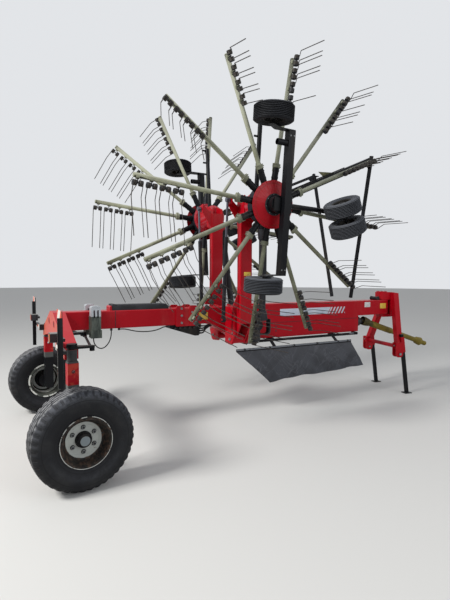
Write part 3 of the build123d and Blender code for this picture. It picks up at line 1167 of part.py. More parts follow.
def steered_pieces():
    """Write the pieces that stand at the parked steering angle: both sides are turned the same way."""
    for name, shapes in (
        ("steering_knuckle", [steering_knuckle()]),
        ("road_tyre", road_wheel([road_tyre()])),
        ("road_rim", road_wheel(road_rim())),
    ):
        save(f"{name}_right", *shapes)
        straight = [at_steer_rest(shape, 0, -KINGPIN_Y, -WHEEL_REST_ANGLE) for shape in shapes]
        left = [mirror(shape, about=Plane.XZ) for shape in straight]
        save(f"{name}_left", *[at_steer_rest(shape, 0, KINGPIN_Y) for shape in left])
    rod = tie_rod()
    save("tie_rod_right", rod)
    shift = Vector(STEER_ARM_REACH, -STEER_ARM_OFFSET, 0).rotate(Axis.Z, WHEEL_REST_ANGLE)
    straight = Pos(*(Vector(STEER_ARM_REACH, -STEER_ARM_OFFSET, 0) - shift)) * rod
    mirrored = mirror(straight, about=Plane.XZ)
    back = Vector(STEER_ARM_REACH, STEER_ARM_OFFSET, 0)
    save("tie_rod_left", Pos(*(back.rotate(Axis.Z, WHEEL_REST_ANGLE) - back)) * mirrored)


build()
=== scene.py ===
import bmesh
import bpy
import json
from math import cos, pi, radians, sin
from mathutils import Matrix, Vector


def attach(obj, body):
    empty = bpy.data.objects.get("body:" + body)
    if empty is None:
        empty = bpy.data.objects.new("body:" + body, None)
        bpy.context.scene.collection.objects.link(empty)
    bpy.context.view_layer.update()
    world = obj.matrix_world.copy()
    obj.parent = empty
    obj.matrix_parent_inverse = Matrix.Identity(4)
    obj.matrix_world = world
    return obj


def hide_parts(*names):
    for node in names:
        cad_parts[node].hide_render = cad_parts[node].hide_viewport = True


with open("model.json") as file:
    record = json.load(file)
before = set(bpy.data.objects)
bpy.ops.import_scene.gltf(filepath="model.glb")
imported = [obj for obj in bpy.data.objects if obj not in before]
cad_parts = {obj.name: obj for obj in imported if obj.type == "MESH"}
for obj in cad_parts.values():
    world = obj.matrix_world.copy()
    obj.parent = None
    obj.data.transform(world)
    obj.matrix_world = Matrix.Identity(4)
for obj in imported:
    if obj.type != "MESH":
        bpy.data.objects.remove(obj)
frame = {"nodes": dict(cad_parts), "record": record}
scene = bpy.context.scene
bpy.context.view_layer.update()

# Places are in millimetres from the rear axle, on the centre line and at ground level, as in the source.
MM = 0.001
REAR_AXLE_X = -2.6026
AXLE = Matrix.Translation((REAR_AXLE_X, 0, 0)) @ Matrix.Scale(MM, 4)
HERE = Matrix.Identity(4)
MIRROR = Matrix.Diagonal((1, -1, 1, 1))
SIDES = {"right": -1, "left": 1}

CAMERA_YAW = radians(27.99)
CAMERA_PITCH = radians(-3.265)
CAMERA_ROLL = radians(0.19)
CAMERA_PLACE = (REAR_AXLE_X - 0.602, -4.919, 1.783)
PHOTO_HEIGHT = 600
FOCAL_PIXELS = 437.6


def show(name, data):
    """A new object in the scene."""
    made = bpy.data.objects.new(name, data)
    scene.collection.objects.link(made)
    return made


def set_camera():
    """The photograph's own viewpoint."""
    yaw, pitch = CAMERA_YAW, CAMERA_PITCH
    ahead = Vector((sin(yaw) * cos(pitch), cos(yaw) * cos(pitch), sin(pitch)))
    level = ahead.to_track_quat("-Z", "Y").to_matrix()
    data = bpy.data.cameras.new("camera")
    data.sensor_width = 36.0
    data.lens = FOCAL_PIXELS * data.sensor_width / PHOTO_HEIGHT
    data.clip_end = 100
    camera = show("camera", data)
    camera.location = CAMERA_PLACE
    camera.rotation_mode = "QUATERNION"
    camera.rotation_quaternion = (level @ Matrix.Rotation(CAMERA_ROLL, 3, "Z")).to_quaternion()
    scene.camera = camera


set_camera()


class Field:
    """One socket of a look, so that sums on it read as plain arithmetic."""

    def __init__(self, look, socket):
        self.look = look
        self.socket = socket

    def __add__(self, other):
        return self.look.maths("ADD", self, other)

    def __sub__(self, other):
        return self.look.maths("SUBTRACT", self, other)

    def __rsub__(self, other):
        return self.look.maths("SUBTRACT", other, self)

    def __mul__(self, other):
        return self.look.maths("MULTIPLY", self, other)

    __radd__ = __add__
    __rmul__ = __mul__


class Look:
    """A material whose patterns lie on the piece's own coordinates, in metres."""

    def __init__(self, name):
        self.material = bpy.data.materials.new(name)
        self.material.use_nodes = True
        tree = self.material.node_tree
        self.nodes, self.links = tree.nodes, tree.links
        self.surface = self.nodes["Principled BSDF"]
        self.place = self.node("ShaderNodeTexCoord", {}, {}, "Object")

    def node(self, kind, settings, values, output=0):
        made = self.nodes.new(kind)
        for name, setting in settings.items():
            setattr(made, name, setting)
        for name, value in values.items():
            self.feed(made.inputs[name], value)
        return Field(self, made.outputs[output])

    def feed(self, socket, value):
        if isinstance(value, Field):
            self.links.new(value.socket, socket)
        else:
            socket.default_value = value

    def maths(self, operation, *values):
        return self.node("ShaderNodeMath", {"operation": operation}, dict(enumerate(values)))

    def vector(self, operation, first, second, output=0):
        values = {0: first, 1: tuple(second)}
        return self.node("ShaderNodeVectorMath", {"operation": operation}, values, output)

    def clouds(self, place, scale, detail, roughness=0.5, warp=0.0):
        return self.node("ShaderNodeTexNoise", {}, {"Vector": place, "Scale": scale, "Detail": detail,
                                                    "Roughness": roughness, "Distortion": warp})

    def noise(self, scale, detail=4.0, roughness=0.55, stretch=(1, 1, 1), warp=0.0):
        return self.clouds(self.vector("MULTIPLY", self.place, stretch), scale, detail, roughness, warp)

    def drawn(self, across, along, scale, detail, roughness=0.5, warp=0.0):
        """Noise on two measures of the surface, so that it runs out in rays or folds."""
        sheet = self.node("ShaderNodeCombineXYZ", {}, {0: across, 1: along})
        return self.clouds(sheet, scale, detail, roughness, warp)

    def to_and_fro(self, value):
        """Runs from 0 to 0.5 and back, once for each whole step of a value."""
        return self.maths("PINGPONG", value, 0.5)

    def mask(self, value, low, high):
        """0 below low, 1 above high and a smooth step between."""
        return self.node("ShaderNodeMapRange", {"interpolation_type": "SMOOTHSTEP"},
                         {"Value": value, "From Min": low, "From Max": high})

    def band(self, value, low, high, soft):
        """1 between two values and 0 outside them."""
        return self.mask(value, low - soft, low + soft) * (1 - self.mask(value, high - soft, high + soft))

    def mix(self, share, first, second):
        values = {0: share, 6: colour(first), 7: colour(second)}
        return self.node("ShaderNodeMix", {"data_type": "RGBA"}, values, 2)

    def coordinate(self, axis):
        return self.node("ShaderNodeSeparateXYZ", {}, {0: self.place}, axis)

    def facing(self, direction):
        """How far a face looks along a direction, at the machine's rest."""
        normal = self.node("ShaderNodeTexCoord", {}, {}, "Normal")
        return self.vector("DOT_PRODUCT", normal, direction, "Value")

    def facing_up(self):
        return self.facing((0, 0, 1))

    def polar(self, place):
        """Radius, height and turn about the local Z of one of the machine's places."""
        offset = self.vector("SUBTRACT", self.place, AXLE @ place.to_translation())
        axes = [column.normalized() for column in place.to_3x3().col]
        across, beside, up = [self.vector("DOT_PRODUCT", offset, axis, "Value") for axis in axes]
        radius = self.maths("SQRT", across * across + beside * beside)
        return radius, up, self.maths("ARCTAN2", beside, across)

    def finish(self, base, roughness, bump=None, depth=0.001, metallic=0.0, specular=0.5):
        """Feed the shader, and give back the material. Bump depth is in metres."""
        self.feed(self.surface.inputs["Base Color"], colour(base))
        self.feed(self.surface.inputs["Roughness"], roughness)
        self.feed(self.surface.inputs["Metallic"], metallic)
        self.surface.inputs["Specular IOR Level"].default_value = specular
        if bump is not None:
            normal = self.node("ShaderNodeBump", {}, {"Height": bump, "Distance": depth}, "Normal")
            self.feed(self.surface.inputs["Normal"], normal)
        return self.material


def colour(value):
    return (*value, 1.0) if isinstance(value, tuple) and len(value) == 3 else value


RUST = (0.085, 0.026, 0.010)
DUST = (0.24, 0.20, 0.155)
DEEP_RED = (0.350, 0.0010, 0.0080)
FADED_RED = (0.43, 0.030, 0.042)
# Pale pink for the portal's rear face: painted light where the key light falls.
LIT_REAR_PINK = (0.56, 0.125, 0.105)
BLACK = (0.0040, 0.0044, 0.0058)
# Black with a painted bluish sky sheen.
SKY_SHEEN_BLACK = (0.0115, 0.0130, 0.0190)
PALE_RIM = (0.36, 0.375, 0.36)
CHALKY_RIM = (0.42, 0.44, 0.41)
# The small rims' near-black colours are painted shade, copied from their shadowed undersides; the rims' own
# colour is not known.
SHADE_DARKENED_RIM = (0.020, 0.019, 0.018)
DUSTY_SHADE_DARKENED_RIM = (0.042, 0.038, 0.032)
CYLINDER_PAINT = (0.012, 0.0125, 0.016)
CYLINDER_FADED = (0.028, 0.030, 0.036)

# The right rotor's own frame has its Z along the rotor's axle, away from the boom.
HUB = (2129.0, -843.0, 2557.0)
TILT = radians(5.67)
ROTOR = Matrix(((1, 0, 0, HUB[0]), (0, -sin(TILT), -cos(TILT), HUB[1]), (0, cos(TILT), -sin(TILT), HUB[2]),
                (0, 0, 0, 1)))
KINGPIN_Y = 930.0
WHEEL_Y = 1205.0
AXLE_Z = 422.5
STEER_REST = radians(6.1)


def sided(place, side):
    """A place that is given for the right side, on either side."""
    return MIRROR @ place if side == "left" else place


def road_wheel_place(side):
    """The frame of a road wheel: Z out along its stub axle, parked at the steering angle."""
    sign = SIDES[side]
    kingpin = Matrix.Translation((0, sign * KINGPIN_Y, 0))
    straight = Matrix.Translation((0, sign * WHEEL_Y, AXLE_Z)) @ Matrix.Rotation(-sign * pi / 2, 4, "X")
    return kingpin @ Matrix.Rotation(STEER_REST, 4, "Z") @ kingpin.inverted() @ straight


def painted(name, paint, fade_and_sheen, dust_share, gloss, fade_from, chips, where=None):
    """Machine paint: sun-faded patches, paler where it looks up, dust streaks, and chips down to rust; for
    black paint the faded colour is a painted bluish sky sheen.

    A function given as where takes the look and the paint's colour, and lays other colours over parts.
    """
    look = Look(name)
    broad = look.noise(1.7, 5.0, 0.6, warp=0.4)
    streak = look.noise(5.0, 5.0, 0.65, stretch=(1, 1, 0.22))
    grit = look.noise(70.0, 6.0, 0.7)
    up = look.mask(look.facing_up(), 0.25, 0.95)
    base = look.mix(look.mask(broad, fade_from, fade_from + 0.26) * 0.75, paint, fade_and_sheen)
    base = look.mix(up * 0.55, base, fade_and_sheen)
    if where:
        base = where(look, base)
    dust = look.mask(streak, 0.50, 0.78) * dust_share + up * look.mask(grit, 0.35, 0.75) * dust_share
    base = look.mix(dust, base, DUST)
    chipped = look.mask(look.noise(26.0, 8.0, 0.72, warp=0.6), chips, chips + 0.03)
    base = look.mix(chipped, base, RUST)
    roughness = look.mask(grit, 0.2, 0.9) * 0.16 + dust * 0.5 + chipped * 0.35 + gloss
    height = grit * 0.25 - chipped * 0.6 + broad * 0.3
    return look.finish(base, roughness, height, 0.0008, specular=0.14)


def portal_rear_light(look, base):
    """The portal's rear face made pale pink as painted light, with orange mottles that run down, and grey
    kingpin sleeves.
    """
    rear = look.mask(look.facing((-1, 0, 0)), 0.3, 0.8)
    mottle = look.noise(9.0, 6.0, 0.7, stretch=(1, 1, 0.45), warp=0.5)
    # The pale pink on the rear face is painted light.
    base = look.mix(rear * 0.75, base, LIT_REAR_PINK)
    orange = look.mask(mottle, 0.50, 0.60) * rear * 0.75
    base = look.mix(orange, base, (0.52, 0.13, 0.035))
    below = 1 - look.mask(look.coordinate("Z"), 1.126, 1.132)
    for sign in SIDES.values():
        radius, _, _ = look.polar(Matrix.Translation((0, sign * KINGPIN_Y, 0)))
        sleeve = below * (1 - look.mask(radius, 0.050, 0.054))
        base = look.mix(sleeve, base, (0.040, 0.041, 0.042))
    return base


def knuckle_paint(look, base):
    """Black arm and cap, grey clamp bands, a red upright with an orange worn face and a bare grey foot."""
    z = look.coordinate("Z")
    wear_and_highlight = look.mask(look.noise(16.0, 6.0, 0.7), 0.48, 0.60)
    base = look.mix(wear_and_highlight * 0.5, base, (0.50, 0.085, 0.040))
    base = look.mix(look.mask(z, 1.004, 1.012), base, (0.055, 0.056, 0.055))
    for low in (1.040, 1.083):
        base = look.mix(look.band(z, low, low + 0.006, 0.002), base, BLACK)
    base = look.mix(look.mask(z, 1.118, 1.124), base, BLACK)
    base = look.mix(1 - look.mask(z, 0.812, 0.824), base, (0.085, 0.090, 0.088))
    return look.mix(1 - look.mask(z, 0.745, 0.760), base, BLACK)


def disc_paint(side):
    """Red disc and drum back with bleached rays; the drum's rim and the disc's middle stay black."""
    def paint(look, base):
        place = sided(ROTOR, side)
        radius, height, turn = look.polar(place)
        streak = look.drawn(turn * 9.0, radius * 4.0, 3.0, 5.0, 0.65)
        upper = look.mask(look.coordinate("Z"), 2.50, 2.68)
        base = look.mix(upper * look.mask(streak, 0.36, 0.62) * 0.75, base, (0.40, 0.060, 0.068))
        base = look.mix(look.band(radius, 0.222, 0.230, 0.004) * 0.35, base, RUST)
        inner = look.mask(look.facing(place.to_3x3() @ Vector((0, 0, -1))), 0.3, 0.6)
        red_back = look.mix(look.mask(streak, 0.42, 0.60) * 0.8, DEEP_RED, (0.36, 0.050, 0.070))
        drum = 1 - look.mask(height, 0.040, 0.044)
        # The drum's outer faces are black with a painted sky sheen.
        base = look.mix(drum, base, look.mix(inner, SKY_SHEEN_BLACK, red_back))
        middle = (1 - look.mask(radius, 0.108, 0.112)) * (1 - drum)
        return look.mix(middle, base, BLACK)
    return paint


def case_paint(side):
    """Red gear case with bleached rays about its axis; the axle and the input neck stay dark."""
    def paint(look, base):
        radius, height, turn = look.polar(sided(ROTOR, side))
        streak = look.drawn(turn * 2.2, radius * 3.0, 1.6, 5.0, 0.6)
        base = look.mix(look.mask(streak, 0.46, 0.58) * 0.85, base, (0.38, 0.055, 0.072))
        base = look.mix(look.mask(radius, 0.200, 0.235), base, BLACK)
        # The axle is black with a painted sky sheen.
        return look.mix(look.mask(height, 0.020, 0.030), base, SKY_SHEEN_BLACK)
    return paint


def rim_wear(side):
    """Pale disc round a ring of painted recess shade, a rusty well and broken edge ring; inside, a black
    drum in pale rings.
    """
    def paint(look, base):
        radius, height, _ = look.polar(road_wheel_place(side))
        rust = look.noise(24.0, 7.0, 0.7, warp=0.5)
        broken = look.mask(look.noise(11.0, 5.0, 0.7), 0.44, 0.50)
        inward = 1 - look.mask(height, 0.012, 0.020)
        rusty = look.mix(look.mask(rust, 0.44, 0.66), (0.0085, 0.0085, 0.0090), (0.060, 0.036, 0.025))
        rusty = look.mix(inward * 0.8, rusty, (0.070, 0.078, 0.070))
        base = look.mix(look.mask(radius + rust * 0.012, 0.153, 0.157), base, rusty)
        edge = look.mask(radius, 0.2085, 0.2115) * broken
        base = look.mix(edge, base, (0.46, 0.47, 0.45))
        base = look.mix(inward * (1 - look.mask(radius, 0.146, 0.150)), base, (0.0060, 0.0062, 0.0080))
        base = look.mix(inward * look.band(radius, 0.150, 0.168, 0.003), base, (0.56, 0.58, 0.54))
        base = look.mix(inward * look.band(radius, 0.198, 0.217, 0.002) * broken, base, (0.66, 0.68, 0.64))
        # Painted shade: a dark ring on the outer part of the hub dome stands in for a recess.
        base = look.mix(look.band(radius, 0.040, 0.070, 0.002), base, (0.0055, 0.0058, 0.0075))
        cap = (1 - look.mask(radius, 0.037, 0.041)) * look.mask(height, 0.055, 0.060)
        return look.mix(cap, base, (0.175, 0.205, 0.220))
    return paint


def chock_streaks(look, base):
    """Bright chocks above the lip of a dull, streaked green-grey holder."""
    streak = look.noise(18.0, 6.0, 0.7, stretch=(1, 1, 0.2))
    holder = look.mix(look.mask(streak, 0.42, 0.62), (0.022, 0.030, 0.026), (0.085, 0.100, 0.085))
    return look.mix(1 - look.mask(look.coordinate("Z"), 1.336, 1.342), base, holder)


def rubber(name, tread_dust):
    """Dusty black rubber with soft scuffs."""
    look = Look(name)
    broad = look.noise(6.0, 5.0, 0.6)
    grain = look.noise(160.0, 4.0, 0.6)
    dust = look.mask(broad, 0.45, 0.80) * tread_dust
    base = look.mix(dust, (0.0080, 0.0082, 0.0092), (0.045, 0.042, 0.037))
    base = look.mix(look.mask(grain, 0.5, 0.85) * 0.25, base, (0.065, 0.062, 0.056))
    return look.finish(base, grain * 0.15 + 0.62 + dust * 0.12, grain, 0.0006, specular=0.25)


SHOULDER_BLOCKS = 40


def road_rubber(side):
    """Road tyres: crowns paler with dust and a painted sky sheen where they look up, notches between worn
    shoulder blocks darkened as painted shade, and a ringed sidewall.
    """
    look = Look(f"road_rubber_{side}")
    radius, _, turn = look.polar(road_wheel_place(side))
    broad = look.noise(6.0, 5.0, 0.6)
    scuff = look.noise(28.0, 6.0, 0.68)
    grain = look.noise(160.0, 4.0, 0.6)
    up = look.mask(look.facing_up(), -0.1, 0.75)
    base = look.mix(look.mask(broad, 0.40, 0.75) * 0.5, (0.0075, 0.0080, 0.0100), (0.030, 0.030, 0.030))
    # Bluish grey on upward scuffed faces: dust and a painted sky sheen.
    base = look.mix(up * look.mask(scuff, 0.25, 0.60) * 0.85, base, (0.080, 0.086, 0.102))
    base = look.mix((1 - look.mask(radius, 0.250, 0.300)) * 0.7, base, (0.0045, 0.0048, 0.0065))
    rings = look.band(radius, 0.247, 0.252, 0.002) + look.band(radius, 0.348, 0.354, 0.002)
    base = look.mix(rings * 0.7, base, (0.004, 0.004, 0.005))
    swing = look.to_and_fro(turn * (SHOULDER_BLOCKS / (2 * pi)))
    notch = look.band(swing, -0.5, 0.16, 0.03) * look.band(radius, 0.380, 0.412, 0.006)
    # Painted shade in the notches between the shoulder blocks.
    base = look.mix(notch * 0.6, base, (0.0040, 0.0040, 0.0052))
    crown = look.mask(radius, 0.413, 0.419) * look.mask(scuff, 0.35, 0.60)
    # Pale scuffed crowns, brighter where they look up: dust and a painted sky highlight.
    base = look.mix(crown * (0.35 + up * 0.5), base, (0.230, 0.232, 0.240))
    return look.finish(base, grain * 0.15 + 0.60, grain * 0.4 - notch + scuff * 0.3, 0.003, specular=0.22)


def ribbed_rubber():
    """Small tyres: black grooves, and rib crowns made grey where they look up by dust and a painted sky
    reflection.
    """
    look = Look("ribbed_rubber")
    broad = look.noise(9.0, 5.0, 0.6)
    grain = look.noise(160.0, 4.0, 0.6)
    up = look.mask(look.facing_up(), 0.15, 0.75)
    base = look.mix(look.mask(broad, 0.40, 0.75) * 0.6, (0.0075, 0.0080, 0.0100), (0.020, 0.021, 0.024))
    # Bluish grey on upward faces: painted sky reflection, with some dust.
    base = look.mix(up * 0.9, base, (0.095, 0.102, 0.118))
    return look.finish(base, grain * 0.15 + 0.60, grain, 0.0005, specular=0.2)


def bare_metal(name, tone, spot, roughness, spots, metal, scale, where=None):
    """Steel or zinc with dull patches and rusty or oily spots."""
    look = Look(name)
    patch = look.noise(scale, 6.0, 0.65)
    fine = look.noise(scale * 6, 4.0, 0.6)
    wear_and_highlight = look.mask(patch, spots, spots + 0.16)
    base = look.mix(look.mask(fine, 0.3, 0.8) * 0.4, tone, tuple(share * 0.6 for share in tone))
    base = look.mix(wear_and_highlight, base, spot)
    if where:
        base = where(look, base)
    dull = wear_and_highlight * 0.35 + fine * 0.15 + roughness
    return look.finish(base, dull, fine - wear_and_highlight * 0.5, 0.0004, (1 - wear_and_highlight) * metal)


def plastic(name, tone, aged, roughness=0.5, dust_share=0.3, where=None):
    """Moulded plastic, bleached in patches, with fine grain and dust."""
    look = Look(name)
    broad = look.noise(7.0, 5.0, 0.6, warp=0.3)
    grain = look.noise(220.0, 3.0, 0.5)
    dirt = look.mask(look.noise(16.0, 6.0, 0.7), 0.52, 0.75) * dust_share
    base = look.mix(look.mask(broad, 0.40, 0.70), tone, aged)
    if where:
        base = where(look, base)
    base = look.mix(dirt, base, (0.05, 0.042, 0.030))
    return look.finish(base, grain * 0.12 + roughness + dirt * 0.3, grain + broad, 0.0005, specular=0.3)


def slanted_end(look, base):
    """The front end of the long plate, where slanting red bars take over from the pale ground."""
    slant = look.coordinate("X") - look.coordinate("Z") * 0.6
    bar = look.mask(look.to_and_fro(slant * (1 / 0.060)), 0.20, 0.23)
    return look.mix(look.mask(slant, 0.27, 0.28) * bar, base, DEEP_RED)


def guard_bell(look, base):
    """The shaft guard's rear bell, darkened by grease and grass."""
    bell = 1 - look.mask(look.coordinate("X"), 1.955, 1.985)
    splash = look.noise(30.0, 6.0, 0.7)
    dark = look.mix(look.mask(splash, 0.45, 0.60), (0.035, 0.030, 0.006), (0.085, 0.070, 0.014))
    return look.mix(bell, base, dark)


def arm_coating():
    """Greenish grey arm tubes, weathered and scuffed, browner near their dirt, with a painted highlight on
    their tops.
    """
    look = Look("arm_coating")
    broad = look.noise(4.0, 5.0, 0.65)
    fine = look.noise(95.0, 6.0, 0.7)
    up = look.mask(look.facing_up(), -0.3, 0.8)
    base = look.mix(look.mask(broad, 0.35, 0.70), (0.225, 0.235, 0.165), (0.120, 0.122, 0.078))
    # Paler on upward faces: painted top highlight.
    base = look.mix(up * 0.55, base, (0.41, 0.42, 0.345))
    base = look.mix(look.mask(fine, 0.60, 0.72) * 0.6, base, (0.070, 0.060, 0.038))
    return look.finish(base, fine * 0.2 + 0.48, fine, 0.0006, specular=0.25)


def tine_steel():
    """Dark spring wire with browner, duller spots."""
    look = Look("tine_steel")
    fine = look.noise(120.0, 4.0, 0.6)
    base = look.mix(look.mask(fine, 0.35, 0.75), (0.022, 0.021, 0.020), (0.075, 0.062, 0.050))
    return look.finish(base, fine * 0.2 + 0.36, fine, 0.0003, 0.45)


def curtain_cloth():
    """Charcoal coated cloth: fine weave, paler top, creases that slant two ways with painted light and shade
    and painted highlights on their ridges, and mud.
    """
    look = Look("curtain_cloth")
    weave = look.node("ShaderNodeTexChecker", {}, {"Vector": look.place, "Scale": 520.0}, "Fac")
    x, z = look.coordinate("X"), look.coordinate("Z")
    first = look.drawn((x - z * 0.9) * 5.0, (x * 0.9 + z) * 1.3, 1.0, 3.0, warp=0.5)
    second = look.drawn((x + z * 1.3) * 4.0, (z - x * 0.7) * 1.6, 1.0, 3.0, warp=0.7)
    crease = first * 0.5 + second * 0.5
    upper = look.mask(z + crease * 0.16, 0.50, 0.86)
    # Lighter and darker along the creases: painted light and shade of the folds.
    base = look.mix(look.mask(crease, 0.42, 0.62), (0.0190, 0.0210, 0.0270), (0.044, 0.048, 0.059))
    base = look.mix(upper * 0.5, base, (0.072, 0.075, 0.088))
    # Pale lines along the crease ridges: painted highlights.
    base = look.mix(look.band(first, 0.494, 0.506, 0.010) * 0.45, base, (0.130, 0.135, 0.155))
    base = look.mix(look.band(second, 0.515, 0.525, 0.008) * 0.35, base, (0.120, 0.120, 0.135))
    mud = look.mask(look.noise(9.0, 7.0, 0.7), 0.62, 0.80) * 0.30
    base = look.mix(mud, base, (0.12, 0.105, 0.09))
    return look.finish(base, crease * 0.25 + 0.42, weave * 0.2 + crease, 0.002, specular=0.35)


BOARD_STRIPE = 0.282
LAMP_BACK_X = REAR_AXLE_X - 0.137


def striped_board():
    """Red and white slanting bands on the board's rear face, plain black on the face that looks forward, and
    a painted highlight on faces that look up.
    """
    look = Look("striped_board")
    slant = (look.coordinate("Y") + look.coordinate("Z")) * (1 / BOARD_STRIPE)
    band = look.mask(look.to_and_fro(slant), 0.245, 0.255)
    rearward = look.mask(look.facing((-1, 0, 0)), 0.4, 0.6)
    grime = look.noise(18.0, 6.0, 0.7)
    face = look.mix(band, (0.62, 0.60, 0.55), (0.55, 0.060, 0.025))
    base = look.mix(rearward, (0.010, 0.010, 0.012), face)
    lamp = 1 - look.mask(look.coordinate("X"), LAMP_BACK_X - 0.001, LAMP_BACK_X + 0.001)
    base = look.mix(lamp, base, (0.020, 0.022, 0.026))
    up = look.mask(look.facing_up(), 0.5, 0.9)
    # Pale grey on upward faces: painted highlight.
    base = look.mix(up * 0.7, base, (0.26, 0.26, 0.25))
    base = look.mix(look.mask(grime, 0.55, 0.80) * 0.30, base, DUST)
    return look.finish(base, grime * 0.25 + 0.35, grime, 0.0004, specular=0.3)


# Paint, faded paint (a painted sky sheen for black paint), share of dust, gloss, where fading and chips
# begin, and what lies over the paint.
PAINTS = {
    "red_paint": (DEEP_RED, FADED_RED, 0.10, 0.30, 0.54, 0.75),
    "portal_red": (DEEP_RED, FADED_RED, 0.14, 0.34, 0.50, 0.72, portal_rear_light),
    "knuckle_red": (DEEP_RED, FADED_RED, 0.16, 0.38, 0.50, 0.70, knuckle_paint),
    # Black paint fades towards a painted bluish sky sheen on its tops and in patches.
    "black_paint": (BLACK, SKY_SHEEN_BLACK, 0.10, 0.36, 0.50, 0.76),
    # Small rims: near black as painted shade.
    "small_rim": (SHADE_DARKENED_RIM, DUSTY_SHADE_DARKENED_RIM, 0.16, 0.46, 0.45, 0.68),
    "hydraulic": (CYLINDER_PAINT, CYLINDER_FADED, 0.12, 0.34, 0.50, 0.77),
}
# Metal, its spots, roughness, where spots begin, how metallic it is and the spots' scale.
METALS = {
    "galvanised": ((0.42, 0.45, 0.48), (0.15, 0.15, 0.13), 0.46, 0.66, 0.35, 12.0, chock_streaks),
    "cast_dark": ((0.018, 0.019, 0.022), (0.045, 0.034, 0.025), 0.52, 0.58, 0.15, 18.0),
    "zinc_bolt": ((0.22, 0.23, 0.235), (0.075, 0.035, 0.016), 0.40, 0.52, 0.50, 60.0),
    # A pale bluish strip metal that stands for lit edges: painted highlight.
    "highlight_strip": ((0.16, 0.17, 0.19), (0.03, 0.03, 0.035), 0.42, 0.54, 0.40, 9.0),
    "chrome_rod": ((0.085, 0.085, 0.110), (0.04, 0.04, 0.04), 0.28, 0.60, 0.45, 25.0),
}
# Plastic, its aged patches, roughness, share of dirt and what lies over it.
PLASTICS = {
    "shaft_guard": ((0.130, 0.094, 0.006), (0.215, 0.165, 0.022), 0.50, 0.30, guard_bell),
    "olive_guard": ((0.060, 0.062, 0.020), (0.105, 0.100, 0.040)),
    "black_guard": ((0.0085, 0.0092, 0.012), (0.022, 0.024, 0.030)),
    "pale_plate": ((0.44, 0.49, 0.58), (0.53, 0.56, 0.62), 0.40, 0.20, slanted_end),
    "white_label": ((0.50, 0.51, 0.51), (0.58, 0.58, 0.56), 0.40, 0.35),
    "yellow_label": ((0.60, 0.40, 0.045), (0.52, 0.40, 0.12), 0.42, 0.45),
    "lamp_red": ((0.30, 0.010, 0.008), (0.22, 0.012, 0.010), 0.16, 0.10),
    "lamp_amber": ((0.55, 0.15, 0.010), (0.45, 0.13, 0.012), 0.16, 0.10),
}
LOOKS = {
    "grey_arm": arm_coating(),
    "spring_steel": tine_steel(),
    "tyre_rubber": rubber("tyre_rubber", 0.5),
    "hose_rubber": rubber("hose_rubber", 0.25),
    "ribbed_rubber": ribbed_rubber(),
    "curtain_cloth": curtain_cloth(),
    "board_sheet": striped_board(),
}
NODE_LOOKS = {"rear_portal": "portal_red"}
for side in SIDES:
    PAINTS[f"disc_red_{side}"] = (DEEP_RED, FADED_RED, 0.06, 0.34, 0.58, 0.74, disc_paint(side))
    PAINTS[f"case_red_{side}"] = (DEEP_RED, FADED_RED, 0.08, 0.34, 0.56, 0.74, case_paint(side))
    PAINTS[f"rim_{side}"] = (PALE_RIM, CHALKY_RIM, 0.12, 0.46, 0.45, 0.64, rim_wear(side))
    LOOKS[f"road_rubber_{side}"] = road_rubber(side)
    NODE_LOOKS[f"steering_knuckle_{side}"] = "knuckle_red"
    NODE_LOOKS[f"rotor_disc_{side}"] = f"disc_red_{side}"
    NODE_LOOKS[f"rotor_gearbox_{side}"] = f"case_red_{side}"
    NODE_LOOKS[f"road_rim_{side}"] = f"rim_{side}"
    NODE_LOOKS[f"lift_rod_{side}"] = "chrome_rod"
for make, table in ((painted, PAINTS), (bare_metal, METALS), (plastic, PLASTICS)):
    for name, finish in table.items():
        LOOKS[name] = make(name, *finish)


# The two free cables under the beam, by the source's own route points (X and Z, all at one Y).
CABLE_Y = -88.0
CABLE_RADIUS = 0.006
SAG_CABLE = ((641, 1178), (690, 1178), (745, 1164), (815, 1145), (895, 1134), (975, 1132), (1050, 1140),
             (1110, 1156), (1158, 1178), (1199, 1178))
LOOP_CABLE = ((545, 1167), (545, 1118), (531, 1062), (500, 1008), (452, 974), (402, 982), (366, 1022),
              (352, 1068), (352, 1104))


def draw_spline(data, places):
    """Add one smooth line through the machine's places to a curve."""
    spline = data.splines.new("NURBS")
    spline.points.add(len(places) - 1)
    for point, place in zip(spline.points, places):
        point.co = (*place, 1)
    spline.order_u = 3
    spline.use_endpoint_u = True


def round_curve(name, radius, roundness, steps):
    """A curve that is drawn as round wire of a radius in metres."""
    data = bpy.data.curves.new(name, "CURVE")
    data.dimensions = "3D"
    data.bevel_depth = radius
    data.bevel_resolution = roundness
    data.resolution_u = steps
    data.use_fill_caps = True
    return data


def free_cable(name, route):
    """A cable between two clips of the beam, on a smooth line through its route."""
    places = [AXLE @ Vector((x, CABLE_Y, z)) for x, z in route]
    data = round_curve(name, CABLE_RADIUS, 3, 8)
    draw_spline(data, places)
    data.materials.append(LOOKS["hose_rubber"])
    made = show(f"{name}_line", data)
    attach(made, "frame")
    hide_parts(name)


free_cable("cable_sag", SAG_CABLE)
free_cable("cable_loop", LOOP_CABLE)


def dress_frame():
    """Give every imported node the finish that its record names."""
    for row in frame["record"]["subparts"]:
        node = frame["nodes"][row["node"]]
        node.data.materials.clear()
        node.data.materials.append(LOOKS[NODE_LOOKS.get(row["node"], row["material_slot"])])


def settle(name, data, look, body, replaces):
    """Make a mesh a piece of the machine that rides on a body."""
    data.materials.clear()
    data.materials.append(LOOKS[look])
    made = show(name, data)
    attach(made, body)
    if replaces:
        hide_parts(replaces)
    return made


